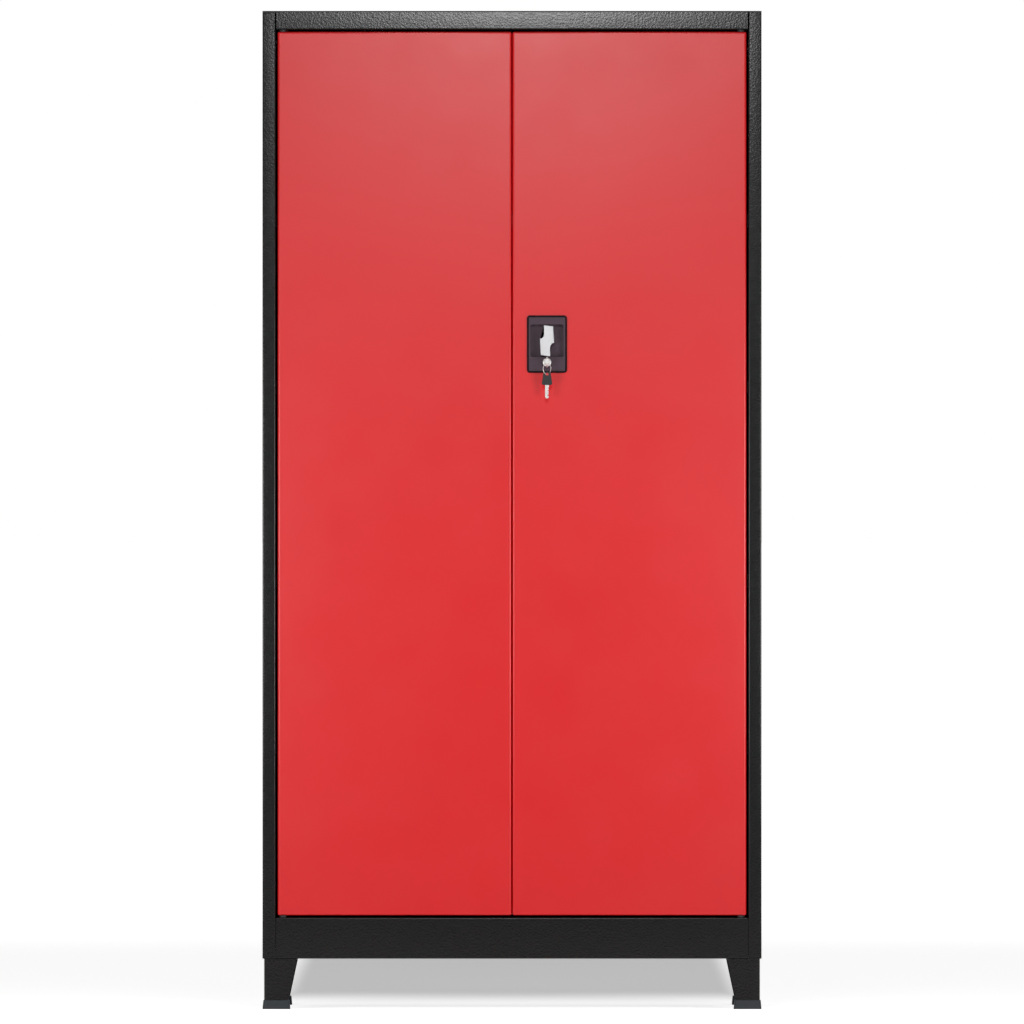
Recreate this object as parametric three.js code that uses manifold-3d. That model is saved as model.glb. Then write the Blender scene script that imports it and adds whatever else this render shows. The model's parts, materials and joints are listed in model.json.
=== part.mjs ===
// A two-door steel tool cabinet on four feet, with a recessed swivel-handle lock.
// Millimetres, +Z up, doors facing -Y. The floor is z = 0 and x = 0 is the middle of the width.
import * as THREE from "three";
import { mergeVertices } from "three/addons/utils/BufferGeometryUtils.js";
import Module from "manifold-3d";

const wasm = await Module();
wasm.setup();

// Outside of the cabinet
const CABINET_WIDTH = 900;
const CABINET_DEPTH = 400;
const CABINET_HEIGHT = 1800;
const FOOT_HEIGHT = 91;

// Sheet metal
const SHEET = 1;
const BEND_RADIUS = 1.5;
const SEAM = 0.3;
const OVERRUN = 2;

// Carcass
const POST_FACE = 23.5;
const POST_DEPTH = 45;
const POST_LIP = 10;
const RAIL_HEIGHT = 33.5;
const RAIL_RETURN = 26;
const TOP_LIP = 20;
const CAP_LIP = 4;
const RAIL_END_GAP = 1.5;
const PLINTH_HEIGHT = 74;
const PLINTH_RETURN = 18;
const FLOOR_LIP = 24;
const BACK_FLANGE = 15;

// Rows of slots in the posts, which the shelf clips hook into
const SLOT_WIDTH = 4;
const SLOT_HEIGHT = 12;
const SLOT_PITCH = 50;
const SLOT_INSET = 37;
const SLOT_MARGIN = 60;

// Shelves and their clips
const SHELF_COUNT = 4;
const SHELF_EDGE = 25;
const SHELF_LIP = 12;
const SHELF_SETBACK = 30;
const SHELF_REAR_GAP = 4;
const SHELF_SIDE_GAP = 0.7;
const CLIP_SHEET = 1.5;
const CLIP_WIDTH = 16;
const CLIP_LEDGE = 9;
const CLIP_RISE = 9;
const CLIP_DROP = 14;
const CLIP_PLAY = 0.4;
const CLIP_HOOK = 5;

// Feet and their plastic shoes
const FOOT_INSET = 3;
const FOOT_SHEET = 2;
const FOOT_TOP_WIDTH = 59;
const FOOT_END_WIDTH = 43;
const FOOT_ENTRY = 10;
const SHOE_HEIGHT = 16;
const SHOE_WIDTH = 50;
const SHOE_TOP_WIDTH = 47;
const SHOE_CORNER = 5;
const SHOE_OVERHANG = 3;

// Doors
const DOOR_RECESS = 0.5;
const DOOR_SIDE_GAP = 3.9;
const DOOR_END_GAP = 4;
const MEETING_GAP = 1.6;
const DOOR_DEPTH = 22;
const DOOR_LIP = 15;
const DOOR_BEND = 3;
const STIFFENER_CROWN = 34;
const STIFFENER_FLANGE = 14;
const STIFFENER_SHEET = 0.8;
const STIFFENER_BEND = 1;
const STIFFENER_DEPTH = 17;
const STIFFENER_END_GAP = 22;

// Pivot hinges
const PIVOT_INSET = 9.5;
const PIVOT_SETBACK = 7;
const PIN_RADIUS = 3;
const PIN_HEAD_RADIUS = 5;
const PIN_HEAD = 2;
const PIN_REACH = 12;
const PIN_PLAY = 0.3;
const BUSH_RADIUS = 4.8;
const BUSH_COLLAR_RADIUS = 7;
const BUSH_REACH = 8;
const PRESS_GAP = 0.2;

// Lock tray on the right door, measured from the lever's axis
const LEVER_FROM_MIDDLE = 63.1;
const LEVER_HEIGHT_ABOVE_FLOOR = 1205.2;
const TRAY_WIDTH = 72;
const TRAY_ABOVE = 45.3;
const TRAY_BELOW = 57.7;
const TRAY_CORNER = 5;
const TRAY_PROUD = 3;
const TRAY_EDGE = 1;
const TRAY_BODY_WIDTH = 65;
const TRAY_BODY_MARGIN = 3.5;
const TRAY_CUTOUT_PLAY = 0.5;
const TRAY_BODY_DEPTH = 12.5;
const TRAY_WALL = 2.5;
const RECESS_WIDTH = 60;
const RECESS_HEIGHT = 59;
const RECESS_CORNER = 4;
const KEY_DROP = 38.9;

// Swivel lever and the driver behind it
const LEVER_LENGTH = 56;
const LEVER_WIDTH = 25.6;
const LEVER_THICKNESS = 8;
const LEVER_PROUD = 5;
const LEVER_EDGE = 0.8;
const HUB_RADIUS = 9;
const HUB_GAP = 0.4;
const SPINDLE_RADIUS = 5;
const SPINDLE_PLAY = 0.3;
const DRIVER_SHEET = 2.5;
const DRIVER_GAP = 1;
const DRIVER_RADIUS = 20;
const CRANK_RADIUS = 15;
const CRANK_PIN_RADIUS = 3;
const CRANK_PIN_REACH = 4.4;
const TONGUE_WIDTH = 12;
const TONGUE_ENGAGEMENT = 8;
const TONGUE_PLAY = 1;

// Locking rods
const ROD_WIDTH = 10;
const ROD_SHEET = 2;
const ROD_GAP = 1;
const ROD_WITHDRAWN = 2.4;
const YOKE_WALL = 3.2;
const YOKE_PLAY = 0.6;
const ROD_SLOT_PLAY = 1.2;
const GUIDE_FROM_END = 60;
const GUIDE_WIDTH = 34;
const GUIDE_HEIGHT = 18;
const GUIDE_BASE = 2;
const GUIDE_BOSS_WIDTH = 18;
const GUIDE_WALL = 1.4;
const GUIDE_PLAY = 0.35;

// Key cylinder
const BARREL_RADIUS = 7.5;
const BARREL_RIM_RADIUS = 8.4;
const BARREL_PROUD = 1.5;
const PLUG_RADIUS = 5.7;
const PLUG_PLAY = 0.25;
const PLUG_TAIL = 20.4;
const CAM_SHEET = 2.2;
const CAM_LENGTH = 24;
const CAM_WIDTH = 8;
const CAM_PLAY = 0.7;
const CLIP_RING_RADIUS = 6.6;
const CLIP_RING_SHEET = 1.4;
const CLIP_RING_OPENING = 5;
const GROOVE_DEPTH = 1;

// Keys and their ring
const BLADE_LENGTH = 24;
const BLADE_HEIGHT = 7;
const BLADE_TIP_HEIGHT = 4;
const BLADE_THICKNESS = 2;
const BLADE_PLAY = 0.3;
const BOW_LENGTH = 23.5;
const BOW_WIDTH = 20;
const BOW_END_WIDTH = 13;
const BOW_THICKNESS = 2.6;
const BOW_CORNER = 3;
const BOW_GAP = 1;
const KEY_HOLE_RADIUS = 4.2;
const KEY_HOLE_FROM_END = 6.3;
const RING_RADIUS = 10;
const RING_WIRE_RADIUS = 0.7;
const RING_SEAT = 1.9;
const RING_TURN = Math.PI / 4;

// Facets
const BEND_STEPS = 3;
const CORNER_STEPS = 3;
const ROUND_STEPS = 24;
const SMALL_ROUND_STEPS = 12;
const SMALL_RADIUS = 5.4;
const RING_SIDES = 6;
const RING_STEPS = 24;

// Planes and places that follow from the sizes above
const FRONT = -CABINET_DEPTH / 2;
const REAR = CABINET_DEPTH / 2;
const CARCASS_REAR = REAR - SHEET - SEAM;
const HALF_WIDTH = CABINET_WIDTH / 2;
const HALF_OPENING = HALF_WIDTH - POST_FACE;
const WALL_INSIDE = HALF_WIDTH - SHEET - SEAM;
const RAIL_END = HALF_OPENING - RAIL_END_GAP;
const BEND_REACH = BEND_RADIUS + SHEET;
const FLOOR_LEVEL = FOOT_HEIGHT + PLINTH_HEIGHT;
const RAIL_LEVEL = CABINET_HEIGHT - RAIL_HEIGHT;
const DOOR_FRONT = FRONT + DOOR_RECESS;
const DOOR_INNER = MEETING_GAP / 2;
const DOOR_OUTER = HALF_OPENING - DOOR_SIDE_GAP;
const DOOR_BOTTOM = FLOOR_LEVEL + DOOR_END_GAP;
const DOOR_TOP = RAIL_LEVEL - DOOR_END_GAP;
const PIVOT_X = DOOR_OUTER - PIVOT_INSET;
const PIVOT_Y = DOOR_FRONT + PIVOT_SETBACK;
const DRIVER_FRONT = TRAY_BODY_DEPTH + DRIVER_GAP;
const DRIVER_BACK = DRIVER_FRONT + DRIVER_SHEET;
const ROD_FRONT = DRIVER_BACK + ROD_GAP;
const ROD_BACK = ROD_FRONT + ROD_SHEET;
const CRANK_SWING = CRANK_RADIUS * Math.SQRT1_2;
const ROD_OFFSET = (CRANK_RADIUS + CRANK_SWING) / 2;
const ROD_SLOT_Y = DOOR_FRONT + (ROD_FRONT + ROD_BACK) / 2;
const ROD_SLOT_WIDTH = ROD_WIDTH + 2 * ROD_SLOT_PLAY;
const ROD_SLOT_DEPTH = ROD_SHEET + 2 * ROD_SLOT_PLAY;
const TONGUE_REACH = LEVER_FROM_MIDDLE + TONGUE_ENGAGEMENT;
const KEY_FACE = -TRAY_PROUD - BARREL_PROUD;
const KEY_REACH = BOW_GAP + BOW_LENGTH - KEY_FACE - DOOR_RECESS;
const KEY_HOLE_Y = KEY_FACE - BOW_GAP - BOW_LENGTH + KEY_HOLE_FROM_END;

// Joins any number of solids.
function join(...solids) {
  return solids.reduce((whole, next) => whole.add(next));
}

// Cuts any number of solids from the first one.
function cut(solid, ...tools) {
  return tools.reduce((rest, tool) => rest.subtract(tool), solid);
}

// A closed geometry as a solid that can be joined and cut.
function solidFrom(geometry) {
  const bare = geometry.clone();
  bare.deleteAttribute("normal");
  bare.deleteAttribute("uv");
  const merged = mergeVertices(bare);
  return new wasm.Manifold(
    new wasm.Mesh({
      numProp: 3,
      vertProperties: new Float32Array(merged.attributes.position.array),
      triVerts: new Uint32Array(merged.index.array),
    }),
  );
}

// A solid as a geometry with flat-shaded faces.
function geometryFrom(solid) {
  const mesh = solid.getMesh();
  const positions = new THREE.BufferAttribute(new Float32Array(mesh.vertProperties), 3);
  const geometry = new THREE.BufferGeometry();
  geometry.setAttribute("position", positions);
  geometry.setIndex(new THREE.BufferAttribute(new Uint32Array(mesh.triVerts), 1));
  const faceted = geometry.toNonIndexed();
  faceted.computeVertexNormals();
  return faceted;
}

// A box between two values on each axis.
function block(x0, x1, y0, y1, z0, z1) {
  const geometry = new THREE.BoxGeometry(x1 - x0, y1 - y0, z1 - z0);
  geometry.translate((x0 + x1) / 2, (y0 + y1) / 2, (z0 + z1) / 2);
  return solidFrom(geometry);
}

// Extrudes a shape, whose own axes lie along u and v, from one place to another along w.
function prism(shape, from, to, u, v, w) {
  const geometry = new THREE.ExtrudeGeometry(shape, {
    depth: to - from,
    bevelEnabled: false,
    curveSegments: CORNER_STEPS,
  });
  geometry.translate(0, 0, from);
  geometry.applyMatrix4(new THREE.Matrix4().makeBasis(u, v, w));
  return solidFrom(geometry);
}

const X_AXIS = new THREE.Vector3(1, 0, 0);
const Y_AXIS = new THREE.Vector3(0, 1, 0);
const Z_AXIS = new THREE.Vector3(0, 0, 1);

// A shape drawn in x and y, extruded up from z0 to z1.
function prismZ(shape, z0, z1) {
  return prism(shape, z0, z1, X_AXIS, Y_AXIS, Z_AXIS);
}

// A shape drawn in y and z, extruded along x.
function prismX(shape, x0, x1) {
  return prism(shape, x0, x1, Y_AXIS, Z_AXIS, X_AXIS);
}

// A shape drawn in x and z, extruded along y.
function prismY(shape, y0, y1) {
  return prism(shape, -y1, -y0, X_AXIS, Z_AXIS, Y_AXIS.clone().negate());
}

// A straight-sided shape through corners given as [u, v].
function polygon(corners) {
  return new THREE.Shape(corners.map(([u, v]) => new THREE.Vector2(u, v)));
}

// A rectangle with round corners.
function roundedRectangle(u0, u1, v0, v1, radius) {
  const shape = new THREE.Shape();
  shape.absarc(u1 - radius, v0 + radius, radius, -Math.PI / 2, 0);
  shape.absarc(u1 - radius, v1 - radius, radius, 0, Math.PI / 2);
  shape.absarc(u0 + radius, v1 - radius, radius, Math.PI / 2, Math.PI);
  shape.absarc(u0 + radius, v0 + radius, radius, Math.PI, Math.PI * 1.5);
  return shape;
}

// A regular outline that stands for a circle, with fewer sides when it is small.
function disc(u, v, radius) {
  const steps = radius < SMALL_RADIUS ? SMALL_ROUND_STEPS : ROUND_STEPS;
  const corners = Array.from({ length: steps }, (_, step) => {
    const angle = (step / steps) * 2 * Math.PI;
    return [u + radius * Math.cos(angle), v + radius * Math.sin(angle)];
  });
  return polygon(corners);
}

// One corner of a bent sheet's outline, as an arc that starts and ends on the two straight runs.
function bendArc(corner, before, after, radius) {
  const turn = Math.atan2(before.cross(after), before.dot(after));
  if (turn === 0) {
    return [corner];
  }
  const run = radius * Math.tan(Math.abs(turn) / 2);
  const start = corner.clone().addScaledVector(before, -run);
  const inward = new THREE.Vector2(-before.y, before.x).multiplyScalar(Math.sign(turn));
  const centre = start.clone().addScaledVector(inward, radius);
  return Array.from({ length: BEND_STEPS + 1 }, (_, step) =>
    start.clone().rotateAround(centre, (turn * step) / BEND_STEPS),
  );
}

// The section of a bent sheet. It follows the path and returns one thickness to the path's left.
function foldedSheet(corners, sheet = SHEET, bend = BEND_RADIUS) {
  const path = corners.map(([u, v]) => new THREE.Vector2(u, v));
  const runs = path.slice(1).map((point, i) => point.clone().sub(path[i]).normalize());
  const near = [];
  const far = [];
  path.forEach((point, i) => {
    const before = runs[Math.max(i - 1, 0)];
    const after = runs[Math.min(i, runs.length - 1)];
    const leftward = new THREE.Vector2(-before.y - after.y, before.x + after.x);
    const opposite = point.clone().addScaledVector(leftward, sheet / (1 + before.dot(after)));
    const bendsLeft = before.cross(after) > 0;
    near.push(...bendArc(point, before, after, bendsLeft ? bend + sheet : bend));
    far.push(...bendArc(opposite, before, after, bendsLeft ? bend : bend + sheet));
  });
  return new THREE.Shape([...near, ...far.reverse()]);
}

// A block whose twelve edges are rounded, as the outside of a pan folded on all sides.
function softBlock(box, radius) {
  const [x0, x1, y0, y1, z0, z1] = box;
  const plan = prismZ(roundedRectangle(x0, x1, y0, y1, radius), z0, z1);
  const side = prismX(roundedRectangle(y0, y1, z0, z1, radius), x0, x1);
  const face = prismY(roundedRectangle(x0, x1, z0, z1, radius), y0, y1);
  return plan.intersect(side).intersect(face);
}

// A sheet pan: a shell inside the box, open on one side but for a lip all round the opening.
function foldedPan(box, opening, bend = BEND_RADIUS) {
  const inset = box.map((value, i) => value + (i % 2 === 0 ? SHEET : -SHEET));
  const shell = softBlock(box, bend + SHEET).subtract(softBlock(inset, bend));
  return shell.subtract(block(...opening));
}

const FINISH = {
  hammertone: { color: 0x2b2b2b, roughness: 0.45, metalness: 0.2 },
  redPowder: { color: 0xd72f30, roughness: 0.4, metalness: 0 },
  zinc: { color: 0xb8bcc0, roughness: 0.35, metalness: 1 },
  silverLacquer: { color: 0xdcdcdc, roughness: 0.35, metalness: 0.3 },
  trayPlastic: { color: 0x4b454b, roughness: 0.5, metalness: 0 },
  shoePlastic: { color: 0x373a3f, roughness: 0.6, metalness: 0 },
  nylon: { color: 0x1d1d1e, roughness: 0.5, metalness: 0 },
  keyBow: { color: 0x1c1c1e, roughness: 0.5, metalness: 0 },
};

// One named mesh of a solid, in a finish.
function piece(name, solid, finish) {
  const material = new THREE.MeshStandardMaterial({ ...FINISH[finish], flatShading: true });
  const mesh = new THREE.Mesh(geometryFrom(solid), material);
  mesh.name = name;
  return mesh;
}

// A piece made for the right-hand front, and turned over for the left side or the rear.
function handedPiece(name, solid, finish, right = true, front = true) {
  const mesh = piece(name, solid, finish);
  mesh.scale.set(right ? 1 : -1, front ? 1 : -1, 1);
  return mesh;
}

// Heights of the slot centres in each post.
function slotLevels() {
  const first = FLOOR_LEVEL + SLOT_MARGIN;
  const count = Math.floor((RAIL_LEVEL - SLOT_MARGIN - first) / SLOT_PITCH) + 1;
  return Array.from({ length: count }, (_, index) => first + index * SLOT_PITCH);
}

const SLOT_ROWS = [FRONT + SLOT_INSET, CARCASS_REAR - SLOT_INSET];

// The right side panel: one sheet folded into a wall with a slotted post at each end.
function sidePanel() {
  const section = foldedSheet([
    [HALF_OPENING + POST_LIP, FRONT + POST_DEPTH],
    [HALF_OPENING, FRONT + POST_DEPTH],
    [HALF_OPENING, FRONT],
    [HALF_WIDTH, FRONT],
    [HALF_WIDTH, CARCASS_REAR],
    [HALF_OPENING, CARCASS_REAR],
    [HALF_OPENING, CARCASS_REAR - POST_DEPTH],
    [HALF_OPENING + POST_LIP, CARCASS_REAR - POST_DEPTH],
  ]);
  const topSeat = block(
    0,
    HALF_WIDTH - SHEET,
    FRONT - OVERRUN,
    REAR + OVERRUN,
    CABINET_HEIGHT - SHEET - SEAM,
    CABINET_HEIGHT + OVERRUN,
  );
  const capSeat = block(
    0,
    HALF_WIDTH - SHEET,
    FRONT - OVERRUN,
    FRONT + BEND_REACH + SEAM,
    CABINET_HEIGHT - CAP_LIP - SEAM,
    CABINET_HEIGHT + OVERRUN,
  );
  const sheet = cut(prismZ(section, FOOT_HEIGHT, CABINET_HEIGHT), topSeat, capSeat);
  const postEnds = [
    [FRONT, FRONT + POST_DEPTH],
    [CARCASS_REAR - POST_DEPTH, CARCASS_REAR],
  ].map(([y0, y1]) =>
    prismZ(
      roundedRectangle(
        HALF_OPENING + SHEET / 2,
        HALF_WIDTH - SHEET / 2,
        y0 + SHEET / 2,
        y1 - SHEET / 2,
        BEND_RADIUS + SHEET / 2,
      ),
      FOOT_HEIGHT + SEAM,
      FOOT_HEIGHT + SEAM + SHEET,
    ),
  );
  const slots = SLOT_ROWS.flatMap((y) =>
    slotLevels().map((z) =>
      block(
        HALF_OPENING - OVERRUN,
        HALF_OPENING + SHEET + OVERRUN,
        y - SLOT_WIDTH / 2,
        y + SLOT_WIDTH / 2,
        z - SLOT_HEIGHT / 2,
        z + SLOT_HEIGHT / 2,
      ),
    ),
  );
  return cut(join(sheet, ...postEnds), ...slots);
}

// The right half of the back, with a flange at the middle seam between floor and top panel.
// The half that laps hooks over the end of the other one's flange and closes the seam.
function backPanel(laps) {
  const flange = [
    [HALF_WIDTH, REAR],
    [SEAM / 2, REAR],
    [SEAM / 2, REAR - BACK_FLANGE],
  ];
  const hook = [
    [HALF_WIDTH, REAR],
    [SEAM / 2, REAR],
    [SEAM / 2, REAR - BACK_FLANGE - BEND_RADIUS],
    [-SEAM / 2 - BEND_REACH, REAR - BACK_FLANGE - BEND_RADIUS],
  ];
  const clearOfEnds = [
    [FOOT_HEIGHT - OVERRUN, FLOOR_LEVEL + SEAM],
    [CABINET_HEIGHT - TOP_LIP - SEAM, CABINET_HEIGHT + OVERRUN],
  ].map(([z0, z1]) => block(-HALF_OPENING, HALF_OPENING, FRONT, REAR - SHEET, z0, z1));
  const section = foldedSheet(laps ? hook : flange);
  return cut(prismZ(section, FOOT_HEIGHT, CABINET_HEIGHT), ...clearOfEnds);
}

// A sheet turned down along both sides, between the posts, at a level.
function sideFolds(level, lip) {
  const section = foldedSheet([
    [WALL_INSIDE, level - lip],
    [WALL_INSIDE, level],
    [-WALL_INSIDE, level],
    [-WALL_INSIDE, level - lip],
  ]);
  return prismY(section, FRONT + POST_DEPTH + SEAM, CARCASS_REAR - POST_DEPTH - SEAM);
}

// A hole in a horizontal sheet at the door's pivot, on the side that the sign gives.
function pivotHole(side, radius, level) {
  return prismZ(disc(side * PIVOT_X, PIVOT_Y, radius), level - OVERRUN, level + OVERRUN);
}

// A slot in a horizontal sheet for a locking rod at x.
function rodSlot(x, level) {
  return block(
    x - ROD_SLOT_WIDTH / 2,
    x + ROD_SLOT_WIDTH / 2,
    ROD_SLOT_Y - ROD_SLOT_DEPTH / 2,
    ROD_SLOT_Y + ROD_SLOT_DEPTH / 2,
    level - OVERRUN,
    level + OVERRUN,
  );
}

const UPPER_ROD_X = LEVER_FROM_MIDDLE + ROD_OFFSET;
const LOWER_ROD_X = LEVER_FROM_MIDDLE - ROD_OFFSET;

// The top, lipped over the posts, with the rail between them. Its lower edge is folded back to
// hold the pivots, and a notch at each end parts the rail from the lip.
function topPanel() {
  const section = foldedSheet([
    [CARCASS_REAR, CABINET_HEIGHT - TOP_LIP],
    [CARCASS_REAR, CABINET_HEIGHT],
    [FRONT, CABINET_HEIGHT],
    [FRONT, RAIL_LEVEL],
    [FRONT + RAIL_RETURN, RAIL_LEVEL],
  ]);
  const cap = foldedSheet([
    [CARCASS_REAR, CABINET_HEIGHT],
    [FRONT, CABINET_HEIGHT],
    [FRONT, CABINET_HEIGHT - CAP_LIP],
  ]);
  const notches = [
    [-HALF_OPENING, -RAIL_END],
    [RAIL_END, HALF_OPENING],
  ].map(([x0, x1]) =>
    block(
      x0,
      x1,
      FRONT - OVERRUN,
      FRONT + BEND_REACH,
      CABINET_HEIGHT - CAP_LIP - OVERRUN,
      CABINET_HEIGHT + OVERRUN,
    ),
  );
  return cut(
    join(
      prismX(section, -RAIL_END, RAIL_END),
      prismX(cap, -WALL_INSIDE, WALL_INSIDE),
      sideFolds(CABINET_HEIGHT, TOP_LIP),
    ),
    ...notches,
    pivotHole(1, PIN_RADIUS + PRESS_GAP, RAIL_LEVEL),
    pivotHole(-1, PIN_RADIUS + PRESS_GAP, RAIL_LEVEL),
    rodSlot(UPPER_ROD_X, RAIL_LEVEL),
  );
}

// The floor with the plinth between the posts, notched round the four posts.
function bottomPanel() {
  const section = foldedSheet([
    [CARCASS_REAR, FLOOR_LEVEL - FLOOR_LIP],
    [CARCASS_REAR, FLOOR_LEVEL],
    [FRONT, FLOOR_LEVEL],
    [FRONT, FOOT_HEIGHT],
    [FRONT + PLINTH_RETURN, FOOT_HEIGHT],
  ]);
  return cut(
    join(prismX(section, -RAIL_END, RAIL_END), sideFolds(FLOOR_LEVEL, FLOOR_LIP)),
    pivotHole(1, PIN_RADIUS + PRESS_GAP, FLOOR_LEVEL),
    pivotHole(-1, PIN_RADIUS + PRESS_GAP, FLOOR_LEVEL),
    rodSlot(LOWER_ROD_X, FLOOR_LEVEL),
  );
}

// One face of a leg: full width at the top, tapered on the inner edge down to its shoe.
function legOutline(corner, inward) {
  return polygon([
    [corner, SHOE_HEIGHT - FOOT_ENTRY],
    [corner + inward * FOOT_END_WIDTH, SHOE_HEIGHT - FOOT_ENTRY],
    [corner + inward * FOOT_END_WIDTH, SHOE_HEIGHT],
    [corner + inward * FOOT_TOP_WIDTH, FOOT_HEIGHT - SEAM],
    [corner, FOOT_HEIGHT - SEAM],
  ]);
}

const LEG_X = HALF_WIDTH - FOOT_INSET;
const LEG_Y = FRONT + FOOT_INSET;

// The bent angle that a leg is made of, from its end in the shoe up to the carcass.
function legAngle(sheet, reach, z0, z1) {
  const section = foldedSheet(
    [
      [LEG_X - reach, LEG_Y],
      [LEG_X, LEG_Y],
      [LEG_X, LEG_Y + reach],
    ],
    sheet,
  );
  return prismZ(section, z0, z1);
}

// The front right leg: a tapered angle with a square plate across its top.
function foot() {
  const bottom = SHOE_HEIGHT - FOOT_ENTRY;
  const top = FOOT_HEIGHT - SEAM;
  const far = FOOT_TOP_WIDTH + OVERRUN;
  const facing = prismY(legOutline(LEG_X, -1), LEG_Y - OVERRUN, LEG_Y + far);
  const sideways = prismX(legOutline(LEG_Y, 1), LEG_X - far, LEG_X + OVERRUN);
  const angle = legAngle(FOOT_SHEET, FOOT_TOP_WIDTH, bottom, top);
  const plate = prismZ(
    roundedRectangle(
      LEG_X - FOOT_TOP_WIDTH,
      LEG_X,
      LEG_Y,
      LEG_Y + FOOT_TOP_WIDTH,
      BEND_RADIUS + FOOT_SHEET,
    ),
    top - FOOT_SHEET,
    top,
  );
  return join(angle.intersect(facing).intersect(sideways), plate);
}

// The plastic shoe of the front right leg, flared to the floor, with a groove for the angle.
function shoe() {
  const outerX = LEG_X + SHOE_OVERHANG;
  const outerY = LEG_Y - SHOE_OVERHANG;
  const centreX = outerX - SHOE_WIDTH / 2;
  const centreY = outerY + SHOE_WIDTH / 2;
  const half = SHOE_WIDTH / 2;
  const geometry = new THREE.ExtrudeGeometry(
    roundedRectangle(-half, half, -half, half, SHOE_CORNER),
    { depth: SHOE_HEIGHT, bevelEnabled: false, curveSegments: CORNER_STEPS },
  );
  const positions = geometry.attributes.position;
  for (let i = 0; i < positions.count; i += 1) {
    const topShare = positions.getZ(i) / SHOE_HEIGHT;
    const spread = 1 + topShare * (SHOE_TOP_WIDTH / SHOE_WIDTH - 1);
    positions.setXY(i, positions.getX(i) * spread, positions.getY(i) * spread);
  }
  geometry.translate(centreX, centreY, 0);
  const groove = prismZ(
    foldedSheet(
      [
        [LEG_X + SEAM - FOOT_END_WIDTH - 2 * SEAM, LEG_Y - SEAM],
        [LEG_X + SEAM, LEG_Y - SEAM],
        [LEG_X + SEAM, LEG_Y - SEAM + FOOT_END_WIDTH + 2 * SEAM],
      ],
      FOOT_SHEET + 2 * SEAM,
    ),
    SHOE_HEIGHT - FOOT_ENTRY - SEAM,
    SHOE_HEIGHT + OVERRUN,
  );
  return cut(solidFrom(geometry), groove);
}

// Levels of the shelf tops: evenly spread, each on the nearest slot.
function shelfSlots() {
  const levels = slotLevels();
  const spacing = (RAIL_LEVEL - FLOOR_LEVEL) / (SHELF_COUNT + 1);
  return Array.from({ length: SHELF_COUNT }, (_, index) => {
    const wanted = FLOOR_LEVEL + spacing * (index + 1) - SHELF_EDGE + CLIP_DROP;
    return levels.reduce((best, level) =>
      Math.abs(level - wanted) < Math.abs(best - wanted) ? level : best,
    );
  });
}

const CLIP_FACE = HALF_OPENING - SEAM - CLIP_SHEET;

// A pressed clip for the front right post: a hook through the slot and a ledge under the shelf.
function shelfClip(slot) {
  const y = FRONT + SLOT_INSET;
  const neckBottom = slot - SLOT_HEIGHT / 2 + SEAM;
  const neckTop = neckBottom + CLIP_HOOK;
  const tailBottom = neckBottom - CLIP_HOOK;
  const hookWidth = SLOT_WIDTH - 2 * CLIP_PLAY;
  const behind = HALF_OPENING + SHEET + SEAM;
  const ledge = slot - CLIP_DROP;
  const bracket = prismY(
    foldedSheet(
      [
        [CLIP_FACE + CLIP_SHEET - CLIP_LEDGE, ledge - CLIP_SHEET],
        [CLIP_FACE + CLIP_SHEET, ledge - CLIP_SHEET],
        [CLIP_FACE + CLIP_SHEET, slot + CLIP_RISE],
      ],
      CLIP_SHEET,
      CLIP_SHEET / 2,
    ),
    y - CLIP_WIDTH / 2,
    y + CLIP_WIDTH / 2,
  );
  const hook = prismY(
    polygon([
      [CLIP_FACE + CLIP_SHEET / 2, neckBottom],
      [behind, neckBottom],
      [behind, tailBottom],
      [behind + CLIP_SHEET, tailBottom],
      [behind + CLIP_SHEET, neckTop],
      [CLIP_FACE + CLIP_SHEET / 2, neckTop],
    ]),
    y - hookWidth / 2,
    y + hookWidth / 2,
  );
  return join(bracket, hook);
}

// A shelf whose top lies above its clips, folded down and in on all four sides.
function shelf(slot) {
  const bottom = slot - CLIP_DROP + SEAM;
  const halfWidth = CLIP_FACE - SHELF_SIDE_GAP;
  const front = FRONT + SHELF_SETBACK;
  const rear = REAR - BACK_FLANGE - SHELF_REAR_GAP;
  return foldedPan(
    [-halfWidth, halfWidth, front, rear, bottom, bottom + SHELF_EDGE],
    [
      -halfWidth + SHELF_LIP,
      halfWidth - SHELF_LIP,
      front + SHELF_LIP,
      rear - SHELF_LIP,
      bottom - OVERRUN,
      bottom + SHEET + OVERRUN,
    ],
  );
}

// The right door's pan, with the bush holes of its two pivots.
function doorPan() {
  const front = DOOR_FRONT;
  const back = DOOR_FRONT + DOOR_DEPTH;
  const pan = foldedPan(
    [DOOR_INNER, DOOR_OUTER, front, back, DOOR_BOTTOM, DOOR_TOP],
    [
      DOOR_INNER + DOOR_LIP,
      DOOR_OUTER - DOOR_LIP,
      back - SHEET - OVERRUN,
      back + OVERRUN,
      DOOR_BOTTOM + DOOR_LIP,
      DOOR_TOP - DOOR_LIP,
    ],
    DOOR_BEND,
  );
  const bushHole = BUSH_RADIUS + PRESS_GAP;
  return cut(
    pan,
    pivotHole(1, bushHole, DOOR_BOTTOM),
    pivotHole(1, bushHole, DOOR_TOP),
  );
}

// How high above the lever's axis the tongue's corner reaches at a distance from that axis.
function tongueRise(distance) {
  const tip = Math.hypot(TONGUE_REACH, TONGUE_WIDTH / 2);
  return Math.sqrt(Math.max(tip * tip - distance * distance, 0));
}

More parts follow.
